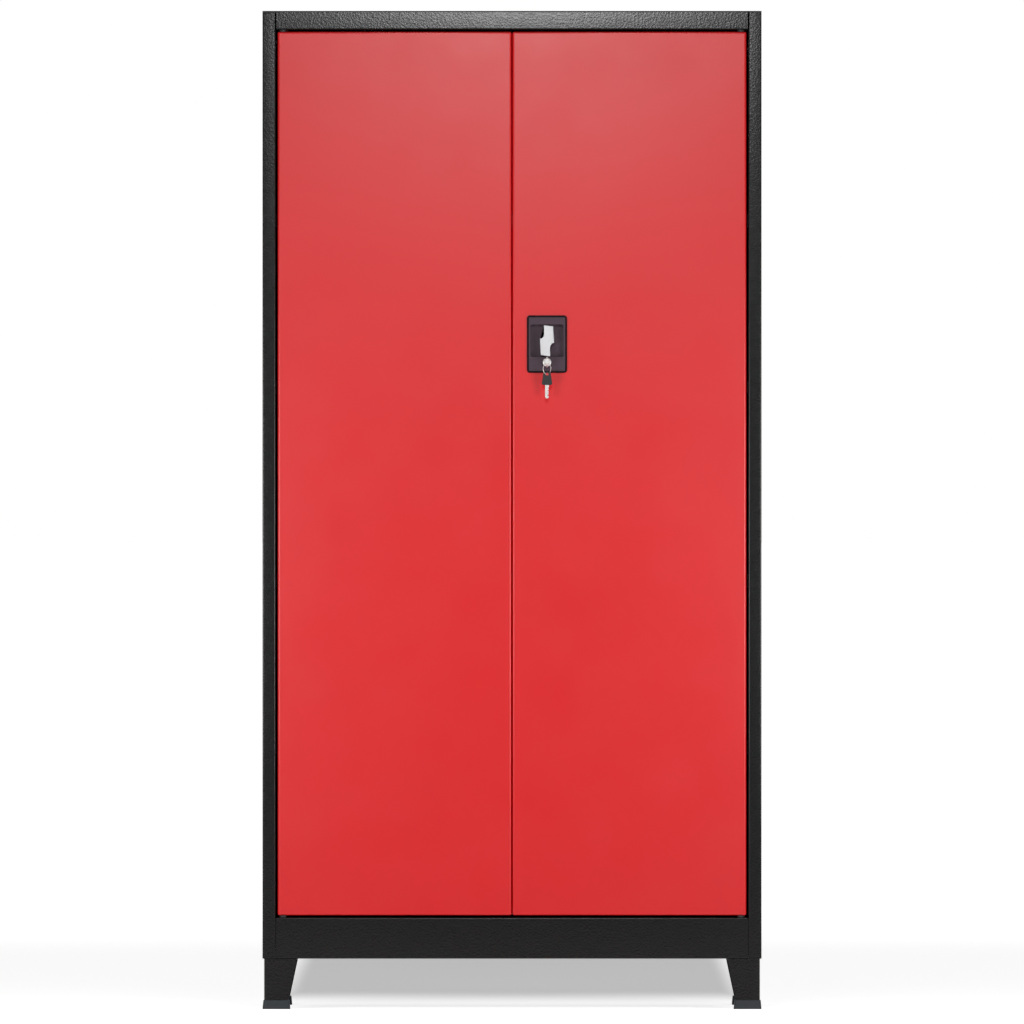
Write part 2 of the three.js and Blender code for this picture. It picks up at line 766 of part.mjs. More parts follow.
// The slot in a door's closing edge that the tongue swings down through.
function tongueSlot(distance) {
  return block(
    -OVERRUN,
    DOOR_INNER + SHEET + OVERRUN,
    DOOR_FRONT + DRIVER_FRONT - TONGUE_PLAY,
    DOOR_FRONT + DRIVER_BACK + TONGUE_PLAY,
    LEVER_HEIGHT_ABOVE_FLOOR - TONGUE_WIDTH / 2 - TONGUE_PLAY,
    LEVER_HEIGHT_ABOVE_FLOOR + tongueRise(distance) + TONGUE_PLAY,
  );
}

// The left door, drawn on the right and turned over: a plain pan with the slot for the tongue.
function leftDoor() {
  return cut(doorPan(), tongueSlot(LEVER_FROM_MIDDLE + DOOR_INNER));
}

// The right door, with the tray's cut-out and the ways out for the rods and the tongue.
function rightDoor() {
  const trayHole = TRAY_BODY_WIDTH / 2 + TRAY_CUTOUT_PLAY;
  const bodyTop = TRAY_ABOVE - TRAY_BODY_MARGIN + TRAY_CUTOUT_PLAY;
  const bodyBottom = TRAY_BELOW - TRAY_BODY_MARGIN + TRAY_CUTOUT_PLAY;
  const trayCutout = prismY(
    roundedRectangle(
      LEVER_FROM_MIDDLE - trayHole,
      LEVER_FROM_MIDDLE + trayHole,
      LEVER_HEIGHT_ABOVE_FLOOR - bodyBottom,
      LEVER_HEIGHT_ABOVE_FLOOR + bodyTop,
      TRAY_CORNER,
    ),
    DOOR_FRONT - OVERRUN,
    DOOR_FRONT + SHEET + OVERRUN,
  );
  return cut(
    doorPan(),
    trayCutout,
    tongueSlot(LEVER_FROM_MIDDLE - DOOR_INNER - SHEET),
    rodSlot(UPPER_ROD_X, DOOR_TOP),
    rodSlot(LOWER_ROD_X, DOOR_BOTTOM),
  );
}

// A hat channel down the middle of the right door's inner face.
function doorStiffener() {
  const middle = (DOOR_INNER + DOOR_OUTER) / 2;
  const base = DOOR_FRONT + SHEET + SEAM;
  const crown = base + STIFFENER_DEPTH;
  const half = STIFFENER_CROWN / 2;
  const section = foldedSheet(
    [
      [middle - half - STIFFENER_FLANGE, base],
      [middle - half, base],
      [middle - half, crown - STIFFENER_SHEET],
      [middle + half, crown - STIFFENER_SHEET],
      [middle + half, base],
      [middle + half + STIFFENER_FLANGE, base],
    ],
    STIFFENER_SHEET,
    STIFFENER_BEND,
  );
  return prismZ(section, DOOR_BOTTOM + STIFFENER_END_GAP, DOOR_TOP - STIFFENER_END_GAP);
}

// A cylinder on the right door's pivot axis between two levels, given in either order.
function pivotCylinder(radius, a, b) {
  return prismZ(disc(PIVOT_X, PIVOT_Y, radius), Math.min(a, b), Math.max(a, b));
}

// A headed pivot pin through a sheet of the frame; up is 1 when it points into a door above it.
function hingePin(sheetLevel, up) {
  const head = sheetLevel - up * (SHEET + SEAM);
  const headEnd = head - up * PIN_HEAD;
  const tip = sheetLevel + up * PIN_REACH;
  return join(
    pivotCylinder(PIN_HEAD_RADIUS, headEnd, head),
    pivotCylinder(PIN_RADIUS, head, tip),
  );
}

// A collared nylon bush in a door's end, which carries the door on the frame or centres it.
function hingeBush(sheetLevel, up) {
  const collarStart = sheetLevel + up * SEAM;
  const collarEnd = sheetLevel + up * (DOOR_END_GAP - SEAM);
  const sleeveEnd = collarEnd + up * BUSH_REACH;
  const bore = pivotCylinder(
    PIN_RADIUS + PIN_PLAY,
    collarStart - up * OVERRUN,
    sleeveEnd + up * OVERRUN,
  );
  return cut(
    join(
      pivotCylinder(BUSH_COLLAR_RADIUS, collarStart, collarEnd),
      pivotCylinder(BUSH_RADIUS, collarEnd, sleeveEnd),
    ),
    bore,
  );
}

// The plastic tray: a proud rim, a body through the door, the lever's recess and the key boss.
function lockTray() {
  const half = TRAY_WIDTH / 2;
  const bodyHalf = TRAY_BODY_WIDTH / 2;
  const rim = (inset) =>
    roundedRectangle(
      -half + inset,
      half - inset,
      -TRAY_BELOW + inset,
      TRAY_ABOVE - inset,
      TRAY_CORNER - inset,
    );
  const flange = join(
    prismY(rim(0), -TRAY_PROUD + TRAY_EDGE, -SEAM),
    prismY(rim(TRAY_EDGE), -TRAY_PROUD, -TRAY_PROUD + TRAY_EDGE),
  );
  const body = prismY(
    roundedRectangle(
      -bodyHalf,
      bodyHalf,
      -TRAY_BELOW + TRAY_BODY_MARGIN,
      TRAY_ABOVE - TRAY_BODY_MARGIN,
      TRAY_CORNER,
    ),
    -TRAY_PROUD + TRAY_EDGE,
    TRAY_BODY_DEPTH,
  );
  const recess = prismY(
    roundedRectangle(
      -RECESS_WIDTH / 2,
      RECESS_WIDTH / 2,
      -RECESS_HEIGHT / 2,
      RECESS_HEIGHT / 2,
      RECESS_CORNER,
    ),
    -TRAY_PROUD - OVERRUN,
    TRAY_BODY_DEPTH - TRAY_WALL,
  );
  const spindleHole = prismY(
    disc(0, 0, SPINDLE_RADIUS + SPINDLE_PLAY),
    TRAY_BODY_DEPTH - TRAY_WALL - OVERRUN,
    TRAY_BODY_DEPTH + OVERRUN,
  );
  const barrelHole = prismY(
    disc(0, -KEY_DROP, BARREL_RADIUS + PRESS_GAP),
    -TRAY_PROUD - OVERRUN,
    TRAY_BODY_DEPTH + OVERRUN,
  );
  return cut(join(flange, body), recess, spindleHole, barrelHole);
}

// Corners of the lever's upper arm, as shares of its half width and half length.
const LEVER_TIP_INNER_SHARES = [-0.44, 1];
const LEVER_TIP_OUTER_SHARES = [0.88, 0.93];
const LEVER_SHOULDER_SHARES = [1, -0.13];
const LEVER_HOLLOW_SHARES = [0.46, -0.15];
const LEVER_ROOT_SHARES = [0.42, -0.45];

// The lever's face: two offset arms, each the other turned half round, with hollow shoulders.
function leverOutline(inset) {
  const halfWidth = LEVER_WIDTH / 2 - inset;
  const halfLength = LEVER_LENGTH / 2 - inset;
  const shape = new THREE.Shape();
  [1, -1].forEach((turn, arm) => {
    const at = ([u, v]) => [turn * u * halfWidth, turn * v * halfLength];
    const start = at(LEVER_TIP_INNER_SHARES);
    if (arm === 0) {
      shape.moveTo(...start);
    } else {
      shape.lineTo(...start);
    }
    shape.lineTo(...at(LEVER_TIP_OUTER_SHARES));
    shape.lineTo(...at(LEVER_SHOULDER_SHARES));
    shape.quadraticCurveTo(...at(LEVER_HOLLOW_SHARES), ...at(LEVER_ROOT_SHARES));
  });
  shape.closePath();
  return shape;
}

// The lever with its hub and the spindle that runs through the tray into the driver.
function leverHandle() {
  const back = LEVER_THICKNESS - LEVER_PROUD;
  const hubEnd = TRAY_BODY_DEPTH - TRAY_WALL - HUB_GAP;
  return join(
    prismY(leverOutline(LEVER_EDGE), -LEVER_PROUD, -LEVER_PROUD + LEVER_EDGE),
    prismY(leverOutline(0), -LEVER_PROUD + LEVER_EDGE, back),
    prismY(disc(0, 0, HUB_RADIUS), back, hubEnd),
    prismY(disc(0, 0, SPINDLE_RADIUS), hubEnd, DRIVER_BACK),
  );
}

// The driver: a disc with two crank pins, the tongue, and a hollow for the cam at each end of
// its turn, so that the cam of a turned key holds it.
function rodDriver() {
  const camSweep = CAM_LENGTH + CAM_PLAY;
  const plate = cut(
    join(
      prismY(disc(0, 0, DRIVER_RADIUS), DRIVER_FRONT, DRIVER_BACK),
      block(
        -TONGUE_WIDTH / 2,
        TONGUE_WIDTH / 2,
        DRIVER_FRONT,
        DRIVER_BACK,
        0,
        TONGUE_REACH,
      ),
    ),
    prismY(disc(0, -KEY_DROP, camSweep), DRIVER_FRONT - OVERRUN, DRIVER_BACK + OVERRUN),
    prismY(disc(-KEY_DROP, 0, camSweep), DRIVER_FRONT - OVERRUN, DRIVER_BACK + OVERRUN),
    prismY(
      disc(0, 0, SPINDLE_RADIUS + PRESS_GAP),
      DRIVER_FRONT - OVERRUN,
      DRIVER_BACK + OVERRUN,
    ),
  );
  const pins = [1, -1].map((side) =>
    prismY(
      disc(side * CRANK_SWING, -side * CRANK_SWING, CRANK_PIN_RADIUS),
      DRIVER_FRONT,
      DRIVER_BACK + CRANK_PIN_REACH,
    ),
  );
  return join(plate, ...pins);
}

// A flat rod with a slotted yoke round its crank pin; up is 1 for the upper rod.
function lockingRod(up, end) {
  const axis = LEVER_HEIGHT_ABOVE_FLOOR;
  const pinLevel = axis - up * CRANK_SWING;
  const middle = LEVER_FROM_MIDDLE + up * ROD_OFFSET;
  const slotHalfWidth = (CRANK_RADIUS - CRANK_SWING) / 2 + CRANK_PIN_RADIUS + YOKE_PLAY;
  const slotHalfHeight = CRANK_PIN_RADIUS + YOKE_PLAY;
  const front = DOOR_FRONT + ROD_FRONT;
  const back = DOOR_FRONT + ROD_BACK;
  const yoke = prismY(
    roundedRectangle(
      middle - slotHalfWidth - YOKE_WALL,
      middle + slotHalfWidth + YOKE_WALL,
      pinLevel - slotHalfHeight - YOKE_WALL,
      pinLevel + slotHalfHeight + YOKE_WALL,
      YOKE_WALL,
    ),
    front,
    back,
  );
  const slot = prismY(
    roundedRectangle(
      middle - slotHalfWidth,
      middle + slotHalfWidth,
      pinLevel - slotHalfHeight,
      pinLevel + slotHalfHeight,
      YOKE_PLAY,
    ),
    front - OVERRUN,
    back + OVERRUN,
  );
  const bar = prismY(
    roundedRectangle(
      middle - ROD_WIDTH / 2,
      middle + ROD_WIDTH / 2,
      Math.min(end, pinLevel + up * slotHalfHeight),
      Math.max(end, pinLevel + up * slotHalfHeight),
      ROD_SHEET / 2,
    ),
    front,
    back,
  );
  return cut(join(yoke, bar), slot);
}

// A guide block behind the door's skin, with the rod's way through its boss.
function rodGuide(middle, level) {
  const base = DOOR_FRONT + SHEET + SEAM;
  const bossEnd = DOOR_FRONT + ROD_BACK + GUIDE_PLAY + GUIDE_WALL;
  const foot = prismY(
    roundedRectangle(
      middle - GUIDE_WIDTH / 2,
      middle + GUIDE_WIDTH / 2,
      level - GUIDE_HEIGHT / 2,
      level + GUIDE_HEIGHT / 2,
      GUIDE_BASE,
    ),
    base,
    base + GUIDE_BASE,
  );
  const boss = prismZ(
    roundedRectangle(
      middle - GUIDE_BOSS_WIDTH / 2,
      middle + GUIDE_BOSS_WIDTH / 2,
      base,
      bossEnd,
      GUIDE_WALL,
    ),
    level - GUIDE_HEIGHT / 2,
    level + GUIDE_HEIGHT / 2,
  );
  const way = block(
    middle - ROD_WIDTH / 2 - GUIDE_PLAY,
    middle + ROD_WIDTH / 2 + GUIDE_PLAY,
    DOOR_FRONT + ROD_FRONT - GUIDE_PLAY,
    DOOR_FRONT + ROD_BACK + GUIDE_PLAY,
    level - GUIDE_HEIGHT,
    level + GUIDE_HEIGHT,
  );
  return cut(join(foot, boss), way);
}

// The fixed barrel of the key cylinder, with a rim on the tray's face.
function lockBarrel() {
  const rimEnd = -TRAY_PROUD - SEAM;
  const bore = disc(0, 0, PLUG_RADIUS + PLUG_PLAY);
  return cut(
    join(
      prismY(disc(0, 0, BARREL_RIM_RADIUS), KEY_FACE, rimEnd),
      prismY(disc(0, 0, BARREL_RADIUS), rimEnd, TRAY_BODY_DEPTH),
    ),
    prismY(bore, KEY_FACE - OVERRUN, TRAY_BODY_DEPTH + OVERRUN),
  );
}

// The plug with its keyway and the blocking cam, which points sideways while the key is upright.
function lockPlug() {
  const groove = cut(
    prismY(
      disc(0, 0, PLUG_RADIUS + OVERRUN),
      clipRingFront(),
      clipRingFront() + CLIP_RING_SHEET + 2 * PLUG_PLAY,
    ),
    prismY(disc(0, 0, PLUG_RADIUS - GROOVE_DEPTH), KEY_FACE, PLUG_TAIL),
  );
  const camFront = DRIVER_FRONT + (DRIVER_SHEET - CAM_SHEET) / 2;
  const cam = join(
    prismY(disc(0, 0, PLUG_RADIUS + CAM_SHEET), camFront, camFront + CAM_SHEET),
    prismY(
      roundedRectangle(0, CAM_LENGTH, -CAM_WIDTH / 2, CAM_WIDTH / 2, CAM_WIDTH / 4),
      camFront,
      camFront + CAM_SHEET,
    ),
  );
  const keyway = block(
    -BLADE_THICKNESS / 2 - BLADE_PLAY,
    BLADE_THICKNESS / 2 + BLADE_PLAY,
    KEY_FACE - OVERRUN,
    KEY_FACE + BLADE_LENGTH + BLADE_PLAY - BOW_GAP,
    -BLADE_HEIGHT / 2 - BLADE_PLAY,
    BLADE_HEIGHT / 2 + BLADE_PLAY,
  );
  const core = prismY(disc(0, 0, PLUG_RADIUS), KEY_FACE, PLUG_TAIL);
  return cut(join(core, cam), groove, keyway);
}

// Where the clip ring's groove starts, behind the cam.
function clipRingFront() {
  return DRIVER_BACK + (PLUG_TAIL - DRIVER_BACK - CLIP_RING_SHEET) / 2;
}

// The open spring ring in the groove behind the cam.
function plugClip() {
  const front = clipRingFront() + PLUG_PLAY;
  const back = front + CLIP_RING_SHEET;
  return cut(
    prismY(disc(0, 0, CLIP_RING_RADIUS), front, back),
    prismY(disc(0, 0, PLUG_RADIUS - GROOVE_DEPTH + PLUG_PLAY), front - OVERRUN, back + OVERRUN),
    block(
      -CLIP_RING_OPENING / 2,
      CLIP_RING_OPENING / 2,
      front - OVERRUN,
      back + OVERRUN,
      -CLIP_RING_RADIUS - OVERRUN,
      0,
    ),
  );
}

// A key drawn flat: the bow hangs from u = 0 down to the blade, which points to -v.
function keySolid() {
  const half = BOW_THICKNESS / 2;
  const bow = new THREE.Shape();
  const shoulder = BOW_WIDTH / 2;
  const end = BOW_END_WIDTH / 2;
  bow.moveTo(-end + BOW_CORNER, BOW_LENGTH);
  bow.lineTo(end - BOW_CORNER, BOW_LENGTH);
  bow.quadraticCurveTo(end, BOW_LENGTH, end, BOW_LENGTH - BOW_CORNER);
  bow.lineTo(shoulder, BOW_CORNER);
  bow.quadraticCurveTo(shoulder, 0, shoulder - BOW_CORNER, 0);
  bow.lineTo(-shoulder + BOW_CORNER, 0);
  bow.quadraticCurveTo(-shoulder, 0, -shoulder, BOW_CORNER);
  bow.lineTo(-end, BOW_LENGTH - BOW_CORNER);
  bow.quadraticCurveTo(-end, BOW_LENGTH, -end + BOW_CORNER, BOW_LENGTH);
  const tip = BLADE_TIP_HEIGHT / 2;
  const root = BLADE_HEIGHT / 2;
  const blade = polygon([
    [-root, half],
    [-root, root - BLADE_LENGTH],
    [-tip, -BLADE_LENGTH],
    [tip, -BLADE_LENGTH],
    [root, root - BLADE_LENGTH],
    [root, half],
  ]);
  const hole = disc(0, BOW_LENGTH - KEY_HOLE_FROM_END, KEY_HOLE_RADIUS);
  return cut(
    join(
      prismY(bow, -half, half),
      prismY(blade, -BLADE_THICKNESS / 2, BLADE_THICKNESS / 2),
    ),
    prismY(hole, -half - OVERRUN, half + OVERRUN),
  );
}

// The wire ring, in the plane of x and z.
function keyRing() {
  const ring = new THREE.TorusGeometry(RING_RADIUS, RING_WIRE_RADIUS, RING_SIDES, RING_STEPS);
  ring.rotateX(Math.PI / 2);
  return solidFrom(ring);
}

// Side panels, back halves, top and bottom.
function carcassPieces() {
  const side = sidePanel();
  return [
    handedPiece("left_side_panel", side, "hammertone", false),
    handedPiece("right_side_panel", side, "hammertone"),
    handedPiece("left_back_panel", backPanel(false), "hammertone", false),
    handedPiece("right_back_panel", backPanel(true), "hammertone"),
    piece("top_panel", topPanel(), "hammertone"),
    piece("bottom_panel", bottomPanel(), "hammertone"),
  ];
}

// The four legs with their shoes.
function footPieces() {
  const leg = foot();
  const cap = shoe();
  return [true, false].flatMap((front) =>
    [false, true].flatMap((right) => {
      const corner = `${front ? "front" : "rear"}_${right ? "right" : "left"}_foot`;
      return [
        handedPiece(corner, leg, "hammertone", right, front),
        handedPiece(`${corner}_cap`, cap, "shoePlastic", right, front),
      ];
    }),
  );
}

// The shelves, each on four clips.
function shelfPieces() {
  return shelfSlots().flatMap((slot, index) => {
    const clip = shelfClip(slot);
    const name = `shelf_${index + 1}`;
    const clips = ["front", "rear"].flatMap((end) =>
      ["left", "right"].map((hand) => {
        const mesh = piece(`${name}_clip_${end}_${hand}`, clip, "zinc");
        mesh.scale.x = hand === "right" ? 1 : -1;
        mesh.position.y = end === "front" ? 0 : SLOT_ROWS[1] - SLOT_ROWS[0];
        return mesh;
      }),
    );
    return [piece(name, shelf(slot), "hammertone"), ...clips];
  });
}

// Both doors with their stiffeners and pivots.
function doorPieces() {
  const stiffener = doorStiffener();
  const doors = [
    handedPiece("left_door", leftDoor(), "redPowder", false),
    piece("right_door", rightDoor(), "redPowder"),
  ];
  const fittings = [false, true].flatMap((right) => {
    const hand = right ? "right" : "left";
    return [
      handedPiece(`${hand}_door_stiffener`, stiffener, "zinc", right),
      handedPiece(`upper_${hand}_hinge_pin`, hingePin(RAIL_LEVEL, -1), "zinc", right),
      handedPiece(`lower_${hand}_hinge_pin`, hingePin(FLOOR_LEVEL, 1), "zinc", right),
      handedPiece(`upper_${hand}_hinge_bush`, hingeBush(RAIL_LEVEL, -1), "nylon", right),
      handedPiece(`lower_${hand}_hinge_bush`, hingeBush(FLOOR_LEVEL, 1), "nylon", right),
    ];
  });
  return [...doors, ...fittings];
}

// The rods with their guides, which are placed from the door's ends.
function rodPieces() {
  return [
    piece("upper_rod", lockingRod(1, DOOR_TOP - ROD_WITHDRAWN), "zinc"),
    piece("lower_rod", lockingRod(-1, DOOR_BOTTOM + ROD_WITHDRAWN), "zinc"),
    piece("upper_rod_guide", rodGuide(UPPER_ROD_X, DOOR_TOP - GUIDE_FROM_END), "nylon"),
    piece("lower_rod_guide", rodGuide(LOWER_ROD_X, DOOR_BOTTOM + GUIDE_FROM_END), "nylon"),
  ];
}

// The key in the lock, with the ring through its bow and the spare key hanging from the ring.
function hangingKeys() {
  const key = piece("key_in_lock", keySolid(), "zinc");
  key.rotation.set(Math.PI / 2, -Math.PI / 2, 0, "YXZ");
  key.position.y = KEY_FACE - BOW_GAP;

  const ring = piece("key_ring", keyRing(), "zinc");
  ring.rotation.z = RING_TURN;
  ring.position.set(0, KEY_HOLE_Y, -RING_SEAT - RING_RADIUS);

  const spare = piece("spare_key", keySolid(), "keyBow");
  const spareHole = -2 * (RING_SEAT + RING_RADIUS);
  spare.position.set(0, KEY_HOLE_Y, spareHole - BOW_LENGTH + KEY_HOLE_FROM_END);
  return [key, ring, spare];
}

// The swivel-handle lock, on axes through the lever and, below it, through the key.
function lock() {
  const keyGroup = new THREE.Group();
  keyGroup.position.z = -KEY_DROP;
  keyGroup.add(
    piece("lock_barrel", lockBarrel(), "zinc"),
    piece("lock_plug", lockPlug(), "zinc"),
    piece("plug_clip", plugClip(), "zinc"),
    ...hangingKeys(),
  );
  const group = new THREE.Group();
  group.position.set(LEVER_FROM_MIDDLE, DOOR_FRONT, LEVER_HEIGHT_ABOVE_FLOOR);
  group.add(
    piece("lock_housing", lockTray(), "trayPlastic"),
    piece("lever_handle", leverHandle(), "silverLacquer"),
    piece("rod_driver", rodDriver(), "zinc"),
    keyGroup,
  );
  return group;
}

// The cabinet stands so that y = 0 is the middle between its back and the end of the key.
const cabinet = new THREE.Group();
cabinet.position.y = KEY_REACH / 2;
cabinet.add(
  ...carcassPieces(),
  ...footPieces(),
  ...shelfPieces(),
  ...doorPieces(),
  ...rodPieces(),
  lock(),
);

const part = new THREE.Group();
part.add(cabinet);

export default part;
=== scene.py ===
"""Finishes, fine shapes, light and camera of a two-door steel tool cabinet.

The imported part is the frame: it holds the places, the sizes and the bodies that move. Everything
here is in metres, with +Z up and the doors facing -Y.
"""

import json
import logging
import math
from collections.abc import Sequence
from dataclasses import dataclass, field
from enum import Enum

import bmesh
import bpy
from mathutils import Matrix, Vector

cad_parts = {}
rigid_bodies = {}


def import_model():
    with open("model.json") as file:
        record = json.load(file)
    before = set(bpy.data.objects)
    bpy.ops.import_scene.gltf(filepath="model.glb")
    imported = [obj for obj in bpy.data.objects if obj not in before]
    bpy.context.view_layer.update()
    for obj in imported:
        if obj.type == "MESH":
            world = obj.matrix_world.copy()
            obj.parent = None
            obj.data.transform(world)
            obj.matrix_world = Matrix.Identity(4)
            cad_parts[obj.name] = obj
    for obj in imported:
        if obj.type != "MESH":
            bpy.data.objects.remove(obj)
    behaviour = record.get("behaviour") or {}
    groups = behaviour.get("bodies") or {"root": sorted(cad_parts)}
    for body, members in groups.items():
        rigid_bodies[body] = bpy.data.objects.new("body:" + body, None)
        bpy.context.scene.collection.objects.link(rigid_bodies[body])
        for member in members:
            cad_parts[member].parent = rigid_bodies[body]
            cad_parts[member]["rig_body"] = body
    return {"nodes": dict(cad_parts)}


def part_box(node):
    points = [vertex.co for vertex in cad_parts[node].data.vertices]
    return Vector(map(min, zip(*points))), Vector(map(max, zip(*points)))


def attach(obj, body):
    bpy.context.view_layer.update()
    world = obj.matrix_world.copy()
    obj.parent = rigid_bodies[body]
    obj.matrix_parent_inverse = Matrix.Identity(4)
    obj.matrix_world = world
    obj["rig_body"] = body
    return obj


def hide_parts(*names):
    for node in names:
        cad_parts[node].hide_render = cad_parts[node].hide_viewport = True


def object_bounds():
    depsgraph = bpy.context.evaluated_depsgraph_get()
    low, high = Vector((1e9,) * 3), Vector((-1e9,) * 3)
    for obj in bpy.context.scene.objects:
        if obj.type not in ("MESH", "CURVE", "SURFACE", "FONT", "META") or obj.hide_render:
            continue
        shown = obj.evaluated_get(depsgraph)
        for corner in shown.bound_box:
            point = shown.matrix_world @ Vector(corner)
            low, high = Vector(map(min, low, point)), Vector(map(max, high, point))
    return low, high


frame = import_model()
CAD_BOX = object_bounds()

MM = 0.001
WHITE = (1.0, 1.0, 1.0, 1.0)

# Points of a new mesh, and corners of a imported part, that are this close are one
SAME_POINT = 1e-7
SAME_CORNER = 1e-6

# Facets that turn less than this are one face, and edges that turn more are rounded
FLAT_DEG = 1.0
SHARP_DEG = 42.0

# Length of the slow waves in a rolled sheet
SHEET_WAVE_MM = 260

# Sockets of a Mix node by number, because its inputs share their names
MIX_SHARE, MIX_FROM, MIX_TO = 0, 2, 3
MIX_COLOUR_FROM, MIX_COLOUR_TO, MIX_COLOUR_OUT = 6, 7, 2

Point = tuple[float, float]
Place = tuple[float, float, float]
Tree = bpy.types.NodeTree
Socket = bpy.types.NodeSocket
NodeInputs = dict[str | int, object]

log = logging.getLogger("tool_cabinet")


def linear(hex_code: str) -> tuple[float, float, float, float]:
    """Turn an sRGB hex colour into the linear colour that a shader takes.

    Args:
        hex_code: Six hex digits, such as "D92E30".

    Returns:
        Red, green, blue and an alpha of one.
    """
    channels = [int(hex_code[i : i + 2], 16) / 255 for i in (0, 2, 4)]
    red, green, blue = (
        c / 12.92 if c <= 0.04045 else ((c + 0.055) / 1.055) ** 2.4 for c in channels
    )
    return red, green, blue, 1.0


def scale_for(size_mm: float) -> float:
    """Return the scale at which one lump of a texture has the given real size."""
    return 1 / (size_mm * MM)


def add_node(
    tree: Tree, kind: str, inputs: NodeInputs | None = None, **settings: object
) -> bpy.types.Node:
    """Add a node with its settings, its values and its links.

    Args:
        tree: The tree that gets the node.
        kind: The node's type, such as "ShaderNodeTexNoise".
        inputs: A value or an output socket for each input, by name or by number.
        settings: The node's own properties.

    Returns:
        The new node.
    """
    node = tree.nodes.new(kind)
    for name, value in settings.items():
        setattr(node, name, value)
    for key, value in (inputs or {}).items():
        if isinstance(value, Socket):
            tree.links.new(value, node.inputs[key])
        else:
            node.inputs[key].default_value = value
    return node


class Pattern(Enum):
    """How a finish is broken up when it is seen close to."""

    DIMPLES = "dimples"
    GRAIN = "grain"


@dataclass(frozen=True)
class Finish:
    """A material with the process that made its surface.

    Sizes are real ones in millimetres. The colour drifts between two values over patches, the
    shine varies over smaller ones, and the pattern raises the surface by its height.
    """

    name: str
    slot: str
    colour: str
    drift_colour: str
    roughness: float
    grain_mm: float
    height_mm: float
    patch_mm: float
    roughness_spread: float = 0.05
    pattern: Pattern = Pattern.GRAIN
    dimple_softness: float = 0.6
    shine_patch: float = 1 / 3
    metallic: float = 0.0
    ior: float = 1.5
    specular_level: float = 0.5
    waviness_mm: float = 0.0

    def material(self) -> bpy.types.Material:
        """Give the material of this finish, which is made on first use.

        Returns:
            The material, named after the finish.
        """
        made = bpy.data.materials.get(self.name)
        if made is not None:
            return made
        made = bpy.data.materials.new(self.name)
        made.use_nodes = True
        tree = made.node_tree
        shader = tree.nodes["Principled BSDF"]
        shader.inputs["Metallic"].default_value = self.metallic
        shader.inputs["IOR"].default_value = self.ior
        shader.inputs["Specular IOR Level"].default_value = self.specular_level
        place = add_node(tree, "ShaderNodeTexCoord").outputs["Object"]
        varied = {
            "Base Color": self._colour(tree, place),
            "Roughness": self._shine(tree, place),
            "Normal": self._relief(tree, place),
        }
        for label, socket in varied.items():
            tree.links.new(socket, shader.inputs[label])
        return made

    def _colour(self, tree: Tree, place: Socket) -> Socket:
        """Make a colour that drifts over patches.

        Args:
            tree: The material's tree.
            place: The coordinates in metres.

        Returns:
            The colour.
        """
        patches = add_node(
            tree, "ShaderNodeTexNoise", {"Vector": place, "Scale": scale_for(self.patch_mm)}
        )
        drift: NodeInputs = {
            MIX_SHARE: patches.outputs[0],
            MIX_COLOUR_FROM: linear(self.colour),
            MIX_COLOUR_TO: linear(self.drift_colour),
        }
        return add_node(tree, "ShaderNodeMix", drift, data_type="RGBA").outputs[MIX_COLOUR_OUT]

    def _shine(self, tree: Tree, place: Socket) -> Socket:
        """Make a roughness that varies about its middle value.

        Args:
            tree: The material's tree.
            place: The coordinates in metres.

        Returns:
            The roughness.
        """
        scale = scale_for(self.patch_mm * self.shine_patch)
        patches = add_node(tree, "ShaderNodeTexNoise", {"Vector": place, "Scale": scale})
        span: NodeInputs = {
            "Value": patches.outputs[0],
            "To Min": self.roughness - self.roughness_spread,
            "To Max": self.roughness + self.roughness_spread,
        }
        return add_node(tree, "ShaderNodeMapRange", span).outputs[0]

    def _relief(self, tree: Tree, place: Socket) -> Socket:
        """Raise the pattern, over the slow waves of a rolled sheet.

        Args:
            tree: The material's tree.
            place: The coordinates in metres.

        Returns:
            The normal.
        """
        grain: NodeInputs = {"Vector": place, "Scale": scale_for(self.grain_mm)}
        if self.pattern is Pattern.DIMPLES:
            grain["Smoothness"] = self.dimple_softness
            cells = add_node(tree, "ShaderNodeTexVoronoi", grain, feature="SMOOTH_F1")
            height = cells.outputs["Distance"]
        else:
            height = add_node(tree, "ShaderNodeTexNoise", grain).outputs[0]
        relief: NodeInputs = {"Height": height, "Distance": self.height_mm * MM}
        if self.waviness_mm > 0:
            slow: NodeInputs = {"Vector": place, "Scale": scale_for(SHEET_WAVE_MM), "Detail": 0.0}
            waves = add_node(tree, "ShaderNodeTexNoise", slow).outputs[0]
            sheet: NodeInputs = {"Height": waves, "Distance": self.waviness_mm * MM}
            relief["Normal"] = add_node(tree, "ShaderNodeBump", sheet).outputs[0]
        return add_node(tree, "ShaderNodeBump", relief).outputs[0]


